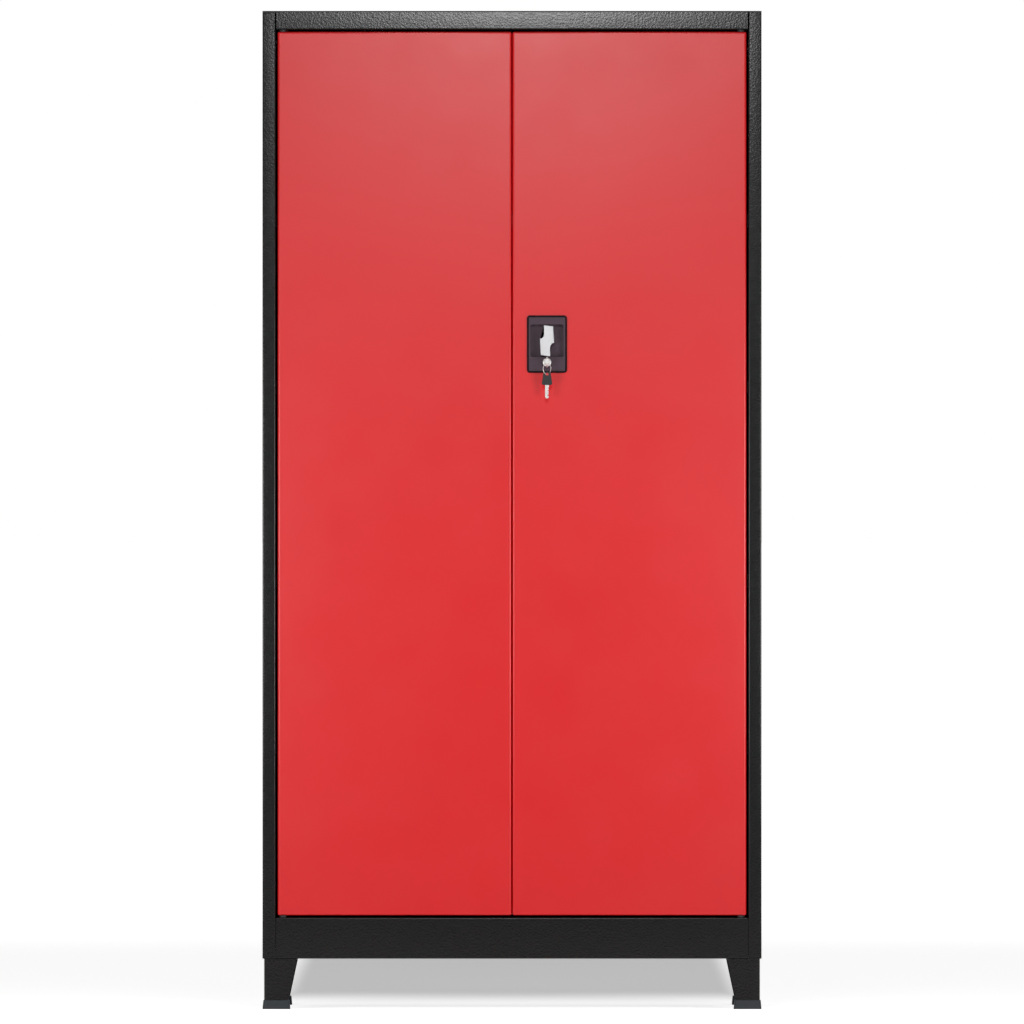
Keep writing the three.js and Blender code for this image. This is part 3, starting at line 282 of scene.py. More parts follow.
HAMMERTONE = Finish(
    # Steel with a black hammer-finish powder coat: small glossy dimples with a dull glint.
    # Real dimples are about 2.5 mm wide; they are drawn wider, so that they show.
    name="steel_black_hammertone_powder_coat",
    slot="hammertone",
    colour="0E0F0F",
    drift_colour="121313",
    roughness=0.24,
    pattern=Pattern.DIMPLES,
    grain_mm=3.6,
    height_mm=0.13,
    patch_mm=40,
    waviness_mm=0.5,
)
RED_COAT = Finish(
    # Steel with a satin red powder coat: fine orange peel, and slow waves where it mirrors a lamp.
    name="steel_red_satin_powder_coat",
    slot="red_powder",
    colour="E10B13",
    drift_colour="DD0A12",
    roughness=0.37,
    roughness_spread=0.04,
    grain_mm=1.6,
    height_mm=0.02,
    patch_mm=220,
    specular_level=0.75,
    waviness_mm=0.9,
)
ZINC = Finish(
    # Steel with bright zinc plating: a cool grey metal with a soft cloudy shine.
    name="steel_bright_zinc_plate",
    slot="zinc_steel",
    colour="C3C7CB",
    drift_colour="AEB3B9",
    roughness=0.34,
    roughness_spread=0.08,
    grain_mm=0.8,
    height_mm=0.008,
    patch_mm=9,
    metallic=1.0,
)
LEVER_LACQUER = Finish(
    # Zinc die casting with silver lacquer: nearly white, with a soft sheen.
    name="die_casting_silver_lacquer",
    slot="silver_lacquer",
    colour="E6E6E8",
    drift_colour="DEDEE0",
    roughness=0.36,
    roughness_spread=0.04,
    grain_mm=0.5,
    height_mm=0.004,
    patch_mm=6,
    metallic=0.25,
)
TRAY_PLASTIC = Finish(
    # Moulded charcoal ABS with a spark-eroded texture: dull, with a faint warm cast.
    name="abs_charcoal_moulded",
    slot="tray_plastic",
    colour="442E3C",
    drift_colour="3D2A36",
    roughness=0.55,
    grain_mm=0.5,
    height_mm=0.03,
    patch_mm=8,
)
TRAY_RIM_SHADE = Finish(
    # The sloping rim of the tray, near black: painted shade along the tray's edge, dull, and darker
    # than the tray.
    name="tray_rim_painted_shade",
    slot="tray_plastic",
    colour="1C1216",
    drift_colour="180F13",
    roughness=0.75,
    roughness_spread=0.04,
    grain_mm=0.5,
    height_mm=0.01,
    patch_mm=8,
    specular_level=0.15,
)
SHOE_PLASTIC = Finish(
    # Moulded dark grey polypropylene: dull and slightly blue.
    name="polypropylene_dark_grey_moulded",
    slot="shoe_plastic",
    colour="2A3036",
    drift_colour="252B30",
    roughness=0.6,
    grain_mm=0.8,
    height_mm=0.03,
    patch_mm=12,
)
NYLON = Finish(
    # Moulded black nylon: dark and slightly waxy.
    name="nylon_black_moulded",
    slot="nylon",
    colour="1D1D1E",
    drift_colour="242425",
    roughness=0.45,
    grain_mm=0.6,
    height_mm=0.01,
    patch_mm=7,
)
KEY_BOW = Finish(
    # Moulded black ABS on the head of a key: even and slightly glossy.
    name="abs_black_moulded",
    slot="key_bow",
    colour="2B282B",
    drift_colour="242224",
    roughness=0.42,
    grain_mm=0.4,
    height_mm=0.01,
    patch_mm=5,
)
NICKEL = Finish(
    # Brass with bright nickel plating: a smooth pale metal that shines where it is curved.
    name="brass_bright_nickel_plate",
    slot="zinc_steel",
    colour="F3F1EE",
    drift_colour="EAE7E3",
    roughness=0.36,
    roughness_spread=0.04,
    grain_mm=0.6,
    height_mm=0.003,
    patch_mm=5,
    metallic=0.75,
)
CLIP_STEEL = Finish(
    # Spring steel with a dark phosphate coat: dull and nearly black.
    name="spring_steel_dark_phosphate",
    slot="zinc_steel",
    colour="3C3E40",
    drift_colour="323436",
    roughness=0.5,
    roughness_spread=0.06,
    grain_mm=0.6,
    height_mm=0.008,
    patch_mm=8,
    metallic=0.6,
)


def new_object(name: str, data: bpy.types.ID) -> bpy.types.Object:
    """Link a new object to the scene.

    Args:
        name: The object's name.
        data: Its mesh, drawing, lamp or camera.

    Returns:
        The object, at the origin.
    """
    made = bpy.data.objects.new(name, data)
    bpy.context.scene.collection.objects.link(made)
    return made


def mesh_object(name: str, work: bmesh.types.BMesh) -> bpy.types.Object:
    """Turn a mesh that is being worked on into an object.

    Args:
        name: The object's and the mesh's name.
        work: The vertices and faces, which are freed here.

    Returns:
        The object, with its faces turned outwards.
    """
    mesh = bpy.data.meshes.new(name)
    bmesh.ops.remove_doubles(work, verts=work.verts, dist=SAME_POINT)
    bmesh.ops.recalc_face_normals(work, faces=work.faces)
    work.to_mesh(mesh)
    work.free()
    return new_object(name, mesh)


def plain_mesh(item: bpy.types.Object) -> bpy.types.Mesh:
    """Return the shape that an object has after its modifiers, as a mesh."""
    graph = bpy.context.evaluated_depsgraph_get()
    return bpy.data.meshes.new_from_object(item.evaluated_get(graph))


def soften(piece: bpy.types.Object, width: float, segments: int = 2) -> None:
    """Round a piece's sharp edges and shade the rest smooth.

    Args:
        piece: The object to finish.
        width: How wide the rounding is.
        segments: How many strips the rounding has.
    """
    piece.data.shade_smooth()
    bevel = piece.modifiers.new("rounded_edges", "BEVEL")
    bevel.width = width
    bevel.segments = segments
    bevel.limit_method = "ANGLE"
    bevel.angle_limit = math.radians(SHARP_DEG)
    bevel.use_clamp_overlap = True
    weights = piece.modifiers.new("flat_faces", "WEIGHTED_NORMAL")
    weights.keep_sharp = True


def add_block(work: bmesh.types.BMesh, low: Place, high: Place) -> None:
    """Add a box to a mesh.

    Args:
        work: The mesh.
        low: The box's lowest corner.
        high: The corner across from it.
    """
    size = Vector(high) - Vector(low)
    place = Matrix.Translation(Vector(low) + size / 2) @ Matrix.Diagonal(size).to_4x4()
    bmesh.ops.create_cube(work, size=1, matrix=place)


def join_loops(work: bmesh.types.BMesh, loops: Sequence[Sequence[bmesh.types.BMVert]]) -> None:
    """Join loops of equally many vertices, and the last loop to the first.

    Args:
        work: The mesh that holds the vertices.
        loops: The loops, in the order of a section's points.
    """
    for number, loop in enumerate(loops):
        ahead = loops[(number + 1) % len(loops)]
        for here in range(len(loop)):
            there = (here + 1) % len(loop)
            work.faces.new([loop[here], loop[there], ahead[there], ahead[here]])


def rectangle(low: Point, high: Point) -> list[Point]:
    """Return the corners of a flat box between its lowest and its highest corner."""
    return [low, (high[0], low[1]), high, (low[0], high[1])]


def rounded_outline(corners: Sequence[Point], radius: float, steps: int = 6) -> list[Point]:
    """Round every corner of a flat outline.

    Args:
        corners: The sharp corners, in order.
        radius: The radius of each corner.
        steps: How many straight runs make a corner.

    Returns:
        The points of the rounded outline.
    """
    points: list[Point] = []
    for number, corner in enumerate(corners):
        here = Vector(corner)
        before = (Vector(corners[number - 1]) - here).normalized()
        after = (Vector(corners[(number + 1) % len(corners)]) - here).normalized()
        half = before.angle(after) / 2
        centre = here + (before + after).normalized() * radius / math.sin(half)
        start = here + before * radius / math.tan(half) - centre
        end = here + after * radius / math.tan(half) - centre
        first = math.atan2(start.y, start.x)
        turn = (math.atan2(end.y, end.x) - first + math.pi) % math.tau - math.pi
        for step in range(steps + 1):
            angle = first + turn * step / steps
            spoke = Vector((math.cos(angle), math.sin(angle))) * radius
            points.append(tuple(centre + spoke))
    return points


def circle(centre: Point, radius: float, steps: int = 32) -> list[Point]:
    """Draw a circle.

    Args:
        centre: Its middle.
        radius: Its radius.
        steps: How many points it has.

    Returns:
        The points.
    """
    across, up = centre
    angles = [math.tau * step / steps for step in range(steps)]
    return [(across + radius * math.cos(a), up + radius * math.sin(a)) for a in angles]


def flat_piece(
    name: str, outlines: Sequence[Sequence[Point]], thickness: float, place: Matrix
) -> bpy.types.Object:
    """Make a flat piece of even thickness, with holes where it has inner outlines.

    Args:
        name: The object's name.
        outlines: The outer outline, then the holes.
        thickness: How thick the piece is.
        place: Carries the drawing's plane to its place in the cabinet.

    Returns:
        The object, with its place in its mesh.
    """
    drawing = bpy.data.curves.new(f"{name}_drawing", "CURVE")
    drawing.dimensions = "2D"
    drawing.fill_mode = "BOTH"
    drawing.extrude = thickness / 2
    for outline in outlines:
        spline = drawing.splines.new("POLY")
        spline.points.add(len(outline) - 1)
        for point, (u, v) in zip(spline.points, outline):
            point.co = (u, v, 0, 1)
        spline.use_cyclic_u = True
    drawn = new_object(drawing.name, drawing)
    work = bmesh.new()
    work.from_mesh(plain_mesh(drawn))
    work.transform(place)
    bpy.data.objects.remove(drawn)
    return mesh_object(name, work)


def turned_piece(
    name: str, profile: Sequence[Point], axis: Vector, steps: int = 64
) -> bpy.types.Object:
    """Turn a closed profile round an axis that runs along Y.

    Args:
        name: The object's name.
        profile: Points of a radius and a place along Y.
        axis: A point on the axis.
        steps: How many faces go round.

    Returns:
        The object.
    """
    work = bmesh.new()
    rings = []
    for radius, along in profile:
        points = circle((axis.x, axis.z), radius, steps)
        rings.append([work.verts.new((u, along, v)) for u, v in points])
    join_loops(work, rings)
    return mesh_object(name, work)


def new_tree(name: str, inputs: dict[str, str]) -> tuple[Tree, bpy.types.NodeOutputs]:
    """Start a Geometry Nodes tree that makes a shape from named sizes.

    Args:
        name: The tree's name.
        inputs: The kind of each named input, such as "Float".

    Returns:
        The tree, and the sockets that give its inputs.
    """
    tree = bpy.data.node_groups.new(name, "GeometryNodeTree")
    tree.interface.new_socket("Geometry", in_out="OUTPUT", socket_type="NodeSocketGeometry")
    for label, kind in inputs.items():
        tree.interface.new_socket(label, in_out="INPUT", socket_type=f"NodeSocket{kind}")
    return tree, add_node(tree, "NodeGroupInput").outputs


def close_tree(tree: Tree, shape: Socket, finish: Socket) -> None:
    """End a tree with real faces, smooth shading and the finish.

    Args:
        tree: The tree to end.
        shape: The geometry that the tree has made.
        finish: The tree's input with the material.
    """
    solid = add_node(tree, "GeometryNodeRealizeInstances", {0: shape}).outputs[0]
    smooth = add_node(tree, "GeometryNodeSetShadeSmooth", {"Geometry": solid}).outputs[0]
    coat: NodeInputs = {"Geometry": smooth, "Material": finish}
    dressed = add_node(tree, "GeometryNodeSetMaterial", coat).outputs[0]
    add_node(tree, "NodeGroupOutput", {0: dressed})


def grown_mesh(name: str, tree: Tree, values: dict[str, object]) -> bpy.types.Mesh:
    """Run a Geometry Nodes tree with the given sizes.

    Args:
        name: The mesh's name.
        tree: The tree that makes the shape.
        values: A value for each of the tree's inputs.

    Returns:
        The result as a plain mesh.
    """
    carrier = new_object(f"{name}_carrier", bpy.data.meshes.new(f"{name}_carrier"))
    modifier = carrier.modifiers.new("shape", "NODES")
    modifier.node_group = tree
    for socket in tree.interface.items_tree:
        if socket.in_out == "INPUT":
            modifier[socket.identifier] = values[socket.name]
    mesh = plain_mesh(carrier)
    mesh.name = name
    carrier.modifiers.remove(modifier)
    bpy.data.objects.remove(carrier)
    return mesh


@dataclass
class Piece:
    """One visible piece: its object, the body that it moves with, and what it stands for."""

    item: bpy.types.Object
    body: str
    finish: Finish
    stands_for: tuple[str, ...] = ()

    def settle(self) -> None:
        """Give the piece its finish and hang it on its body."""
        self.item.data.materials.clear()
        self.item.data.materials.append(self.finish.material())
        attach(self.item, self.body)
        if self.stands_for:
            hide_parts(*self.stands_for)
        log.info("%s rides on %s in %s", self.item.name, self.body, self.finish.name)


@dataclass
class SubAssembly:
    """Pieces that are made and dressed together."""

    pieces: list[Piece] = field(default_factory=list, init=False)

    def build(self) -> None:
        """Make the meshes."""
        raise NotImplementedError

    def dress(self) -> None:
        """Give each piece its finish and its body."""
        for piece in self.pieces:
            piece.settle()

    def add(self, item: bpy.types.Object, carrier: str, finish: Finish, *stands_for: str) -> None:
        """Add a piece.

        Args:
            item: The piece's object.
            carrier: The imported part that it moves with.
            finish: What it is made of.
            stands_for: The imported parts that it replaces.
        """
        self.pieces.append(Piece(item, frame["nodes"][carrier]["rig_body"], finish, stands_for))

    def refine(self, node: str, finish: Finish, edge: float, segments: int = 2) -> None:
        """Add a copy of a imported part, with its facets merged and its edges rounded.

        Args:
            node: The part's name.
            finish: What it is made of.
            edge: How wide the rounding of its edges is.
            segments: How many strips the rounding has.
        """
        mesh = frame["nodes"][node].data.copy()
        work = bmesh.new()
        work.from_mesh(mesh)
        bmesh.ops.remove_doubles(work, verts=work.verts, dist=SAME_CORNER)
        bmesh.ops.dissolve_limit(
            work, angle_limit=math.radians(FLAT_DEG), verts=work.verts, edges=work.edges
        )
        work.to_mesh(mesh)
        work.free()
        made = new_object(f"{node}_finished", mesh)
        soften(made, edge, segments)
        self.add(made, node, finish, node)


@dataclass
class Carcass(SubAssembly):
    """The folded side panels with their posts, the back, the top and the floor with its plinth."""

    edge: float = 0.25 * MM
    sheet: float = 1 * MM
    touch: float = 0.05 * MM
    post_face: float = 23.5 * MM
    plate_reach: float = 22 * MM
    plate_margin: float = 2 * MM
    seam_reach: float = 10 * MM
    floor_lip: float = 24 * MM
    nodes: tuple[str, ...] = (
        "left_side_panel",
        "right_side_panel",
        "left_back_panel",
        "right_back_panel",
        "top_panel",
        "bottom_panel",
    )

    def build(self) -> None:
        """Copy each sheet with its cut edges rounded, and add the plates behind its joints."""
        for node in self.nodes:
            self.refine(node, HAMMERTONE, self.edge)
        self._joining_plates()

    def _joining_plates(self) -> None:
        """Close the joints at the plinth's ends and at the foot of the back seam."""
        low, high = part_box("bottom_panel")
        opening = CAD_BOX[1].x - self.post_face
        inner, outer = opening - self.plate_reach, opening - self.touch
        foot, top = low.z + self.plate_margin, high.z - self.plate_margin
        under_lip = high.z - self.floor_lip - self.touch
        front = low.y + self.sheet + self.touch
        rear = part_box("left_back_panel")[1].y - self.sheet - self.touch
        work = bmesh.new()
        for start, end in ((inner, outer), (-outer, -inner)):
            add_block(work, (start, front, foot), (end, front + self.sheet, top))
        seam = self.seam_reach
        add_block(work, (-seam, rear - self.sheet, foot), (seam, rear, under_lip))
        made = mesh_object("joining_plates", work)
        soften(made, self.edge)
        self.add(made, "bottom_panel", HAMMERTONE)


@dataclass
class Feet(SubAssembly):
    """The four tapered legs and their plastic shoes."""

    edge: float = 0.5 * MM
    shoe_edge: float = 1.2 * MM

    def build(self) -> None:
        """Copy the legs and the shoes at all four corners."""
        for end in ("front", "rear"):
            for hand in ("left", "right"):
                corner = f"{end}_{hand}_foot"
                self.refine(corner, HAMMERTONE, self.edge)
                self.refine(f"{corner}_cap", SHOE_PLASTIC, self.shoe_edge, segments=3)


@dataclass
class Shelving(SubAssembly):
    """The shelves and the clips that carry them."""

    count: int = 4
    edge: float = 0.25 * MM

    def build(self) -> None:
        """Copy the shelves and their clips."""
        for number in range(1, self.count + 1):
            shelf = f"shelf_{number}"
            self.refine(shelf, HAMMERTONE, self.edge)
            for end in ("front", "rear"):
                for hand in ("left", "right"):
                    self.refine(f"{shelf}_clip_{end}_{hand}", CLIP_STEEL, self.edge)


@dataclass
class Doors(SubAssembly):
    """The two door pans with their stiffeners and hinge fittings."""

    edge: float = 0.3 * MM

    def build(self) -> None:
        """Copy the doors, the stiffeners, the pins and the bushes."""
        for hand in ("left", "right"):
            self.refine(f"{hand}_door", RED_COAT, self.edge)
            self.refine(f"{hand}_door_stiffener", ZINC, self.edge)
            for level in ("upper", "lower"):
                self.refine(f"{level}_{hand}_hinge_pin", CLIP_STEEL, self.edge)
                self.refine(f"{level}_{hand}_hinge_bush", NYLON, self.edge)


@dataclass
class RodWork(SubAssembly):
    """The two locking rods, their guides and the driver."""

    edge: float = 0.3 * MM

    def build(self) -> None:
        """Copy the rods, the guides and the driver."""
        for level in ("upper", "lower"):
            self.refine(f"{level}_rod", ZINC, self.edge)
            self.refine(f"{level}_rod_guide", NYLON, self.edge)
        self.refine("rod_driver", ZINC, self.edge)


@dataclass
class Lock(SubAssembly):
    """The tray with its rim, the swivel lever and the key cylinder."""

    edge: float = 0.3 * MM
    tray_edge: float = 0.9 * MM
    lever_edge: float = 1.0 * MM
    rim_width: float = 3.2 * MM
    rim_slope: float = 0.9 * MM
    rim_proud: float = 0.35 * MM
    rim_skirt: float = 0.2 * MM
    rim_outer_depth: float = 2.25 * MM
    rim_inner_depth: float = 0.7 * MM
    rim_outer_corner: float = 5 * MM
    rim_least_corner: float = 0.5 * MM
    barrel_radius: float = 7.5 * MM
    barrel_bore: float = 5.95 * MM
    crown_inset: float = 0.6 * MM
    crown_depth: float = 1.25 * MM
    crown_rise: float = 1.1 * MM
    crown_steps: int = 5

    def build(self) -> None:
        """Copy the tray, the lever and the plug, and make the barrel and the tray's rim."""
        self.refine("lock_housing", TRAY_PLASTIC, self.tray_edge, segments=4)
        self._tray_rim()
        self.refine("lever_handle", LEVER_LACQUER, self.lever_edge, segments=4)
        self.refine("lock_plug", NICKEL, self.edge)
        self.refine("plug_clip", ZINC, self.edge)
        self._barrel()

    def _tray_rim(self) -> None:
        """Frame the tray with its sloping rim, coloured near black as painted shade along the
        tray's edge.
        """
        low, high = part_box("lock_housing")
        middle = (low + high) / 2
        front = low.y - self.rim_proud
        section = [
            (-self.rim_skirt, front + self.rim_outer_depth),
            (-self.rim_skirt, front + self.rim_slope),
            (self.rim_slope, front),
            (self.rim_width, front),
            (self.rim_width, front + self.rim_inner_depth),
        ]
        work = bmesh.new()
        loops = []
        for inset, along in section:
            half_x = (high.x - low.x) / 2 - inset
            half_z = (high.z - low.z) / 2 - inset
            radius = max(self.rim_outer_corner - inset, self.rim_least_corner)
            points = rounded_outline(rectangle((-half_x, -half_z), (half_x, half_z)), radius)
            loops.append([work.verts.new((middle.x + u, along, middle.z + v)) for u, v in points])
        join_loops(work, loops)
        made = mesh_object("lock_tray_rim", work)
        soften(made, self.edge / 2)
        # The rim's near-black colour is painted shade round the tray, not a separate dark material.
        self.add(made, "lock_housing", TRAY_RIM_SHADE, "lock_housing")

    def _barrel(self) -> None:
        """Turn the barrel with its crowned face."""
        low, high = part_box("lock_barrel")
        rim = (high.x - low.x) / 2 - self.crown_inset
        shares = [step / self.crown_steps for step in range(self.crown_steps, -1, -1)]
        crown = [
            (rim + (self.barrel_bore - rim) * share, low.y + self.crown_rise * (1 - share) ** 2)
            for share in shares
        ]
        profile = [
            (self.barrel_bore, high.y),
            *crown,
            (rim, low.y + self.crown_depth),
            (self.barrel_radius, low.y + self.crown_depth),
            (self.barrel_radius, high.y),
        ]
        made = turned_piece("lock_barrel_finished", profile, (low + high) / 2)
        soften(made, self.edge / 2)
        self.add(made, "lock_barrel", NICKEL, "lock_barrel")


@dataclass
class Keys(SubAssembly):
    """The key in the lock, the spare key and the split ring that joins them."""

    bow_length: float = 23.5 * MM
    bow_width: float = 20 * MM
    bow_end_width: float = 13 * MM
    bow_thickness: float = 2.6 * MM
    bow_corner: float = 3 * MM
    hole_radius: float = 4.2 * MM
    hole_from_end: float = 6.3 * MM
    slot_width: float = 5.6 * MM
    slot_height: float = 4.0 * MM
    slot_corner: float = 1.4 * MM
    slot_from_end: float = 1.9 * MM
    blade_length: float = 24 * MM
    blade_height: float = 7 * MM
    blade_tip: float = 4 * MM
    blade_thickness: float = 2 * MM
    blade_entry: float = 3 * MM
    shoulder: float = 4 * MM
    cuts: tuple[float, ...] = (2.6 * MM, 1.8 * MM, 2.4 * MM, 1.2 * MM)
    cut_top: float = 0.42
    cut_foot: float = 0.14
    edge: float = 0.5 * MM
    ring_turns: float = 2.0
    ring_steps: int = 64
    ring_wire: float = 0.42 * MM
    wire_faces: int = 12
    ring_turn_deg: float = 45.0

    def build(self) -> None:
        """Cut both keys and wind the ring."""
        low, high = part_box("spare_key")
        middle = (low + high) / 2
        hanging = Matrix.Translation((middle.x, middle.y, low.z + self.blade_length))
        upright = hanging @ Matrix.Rotation(math.pi / 2, 4, "X")
        self._key("spare_key", upright, KEY_BOW, self._slot_outline())
        low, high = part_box("key_in_lock")
        middle = (low + high) / 2
        # The drawing's width goes to Z, its length to -Y and its thickness to X
        turned = Matrix(((0, 0, 1), (0, -1, 0), (1, 0, 0))).to_4x4()
        seat = Matrix.Translation((middle.x, low.y + self.bow_length, middle.z))
        hole = circle((0, self.bow_length - self.hole_from_end), self.hole_radius)
        self._key("key_in_lock", seat @ turned, NICKEL, hole)
        self._ring()

    def _key(self, node: str, place: Matrix, bow_finish: Finish, hole: list[Point]) -> None:
        """Add a key that stands for a packed one.

        Args:
            node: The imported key's name.
            place: Carries the drawing to the key's place.
            bow_finish: What the bow is made of.
            hole: The outline of the hole for the ring.
        """
        bow = flat_piece(f"{node}_bow", [self._bow_outline(), hole], self.bow_thickness, place)
        soften(bow, self.edge, segments=3)
        self.add(bow, node, bow_finish, node)
        blade = flat_piece(f"{node}_blade", [self._blade_outline()], self.blade_thickness, place)
        soften(blade, self.edge / 2)
        self.add(blade, node, NICKEL, node)

    def _bow_outline(self) -> list[Point]:
        """Draw the bow, which is widest where the blade starts.

        Returns:
            The outline, with the blade's end of the bow at 0.
        """
        wide, narrow, top = self.bow_width / 2, self.bow_end_width / 2, self.bow_length
        corners = [(-wide, 0.0), (wide, 0.0), (narrow, top), (-narrow, top)]
        return rounded_outline(corners, self.bow_corner)

    def _slot_outline(self) -> list[Point]:
        """Draw a flat slot near the bow's end.

        Returns:
            The outline.
        """
        wide = self.slot_width / 2
        top = self.bow_length - self.slot_from_end
        corners = rectangle((-wide, top - self.slot_height), (wide, top))
        return rounded_outline(corners, self.slot_corner)

    def _blade_outline(self) -> list[Point]:
        """Draw the blade, with its cuts along one side.

        Returns:
            The outline, which starts inside the bow.
        """
        root, tip = self.blade_height / 2, self.blade_tip / 2
        end = -self.blade_length
        points = [(root, self.blade_entry), (-root, self.blade_entry)]
        points += [(-root, end + root), (-tip, end), (tip, end), (root, end + root)]
        pitch = (self.blade_length - root - self.shoulder) / len(self.cuts)
        for number, depth in enumerate(self.cuts):
            middle = end + root + pitch * (number + 0.5)
            points += [
                (root, middle - pitch * self.cut_top),
                (root - depth, middle - pitch * self.cut_foot),
                (root - depth, middle + pitch * self.cut_foot),
                (root, middle + pitch * self.cut_top),
            ]
        return points

    def _ring_tree(self) -> Tree:
        """Build the tree of a ring of wound wire.

        Returns:
            The tree, which takes the ring's sizes and its finish.
        """
        sizes = {"Radius": "Float", "Wire": "Float", "Turns": "Float", "Finish": "Material"}
        tree, given = new_tree("split_ring", sizes)
        wire = add_node(
            tree,
            "GeometryNodeCurvePrimitiveCircle",
            {"Resolution": self.wire_faces, "Radius": given["Wire"]},
        )
        height = add_node(
            tree, "ShaderNodeMath", {0: given["Wire"], 1: given["Turns"]}, operation="MULTIPLY"
        )
        winding: NodeInputs = {
            "Resolution": self.ring_steps,
            "Rotations": given["Turns"],
            "Start Radius": given["Radius"],
            "End Radius": given["Radius"],
            "Height": height.outputs[0],
        }
        spiral = add_node(tree, "GeometryNodeCurveSpiral", winding)
        coil = add_node(
            tree,
            "GeometryNodeCurveToMesh",
            {"Curve": spiral.outputs[0], "Profile Curve": wire.outputs[0], "Fill Caps": True},
        )
        close_tree(tree, coil.outputs[0], given["Finish"])
        return tree

    def _ring(self) -> None:
        """Wind the split ring through both bows."""
        low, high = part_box("key_ring")
        values = {
            "Radius": (high.z - low.z) / 2 - 2 * self.ring_wire,
            "Wire": self.ring_wire,
            "Turns": self.ring_turns,
            "Finish": NICKEL.material(),
        }
        mesh = grown_mesh("key_ring_finished", self._ring_tree(), values)
        mesh.transform(
            Matrix.Translation((low + high) / 2)
            @ Matrix.Rotation(math.radians(self.ring_turn_deg), 4, "Z")
            @ Matrix.Rotation(math.pi / 2, 4, "X")
            @ Matrix.Translation((0, 0, -self.ring_wire * self.ring_turns / 2))
        )
        self.add(new_object("key_ring_finished", mesh), "key_ring", NICKEL, "key_ring")


@dataclass(frozen=True)
class HeadRow:
    """Equal round heads at even steps between two points on a face that looks backwards."""

    first: Place
    last: Place
    count: int
    radius: float
    height: float


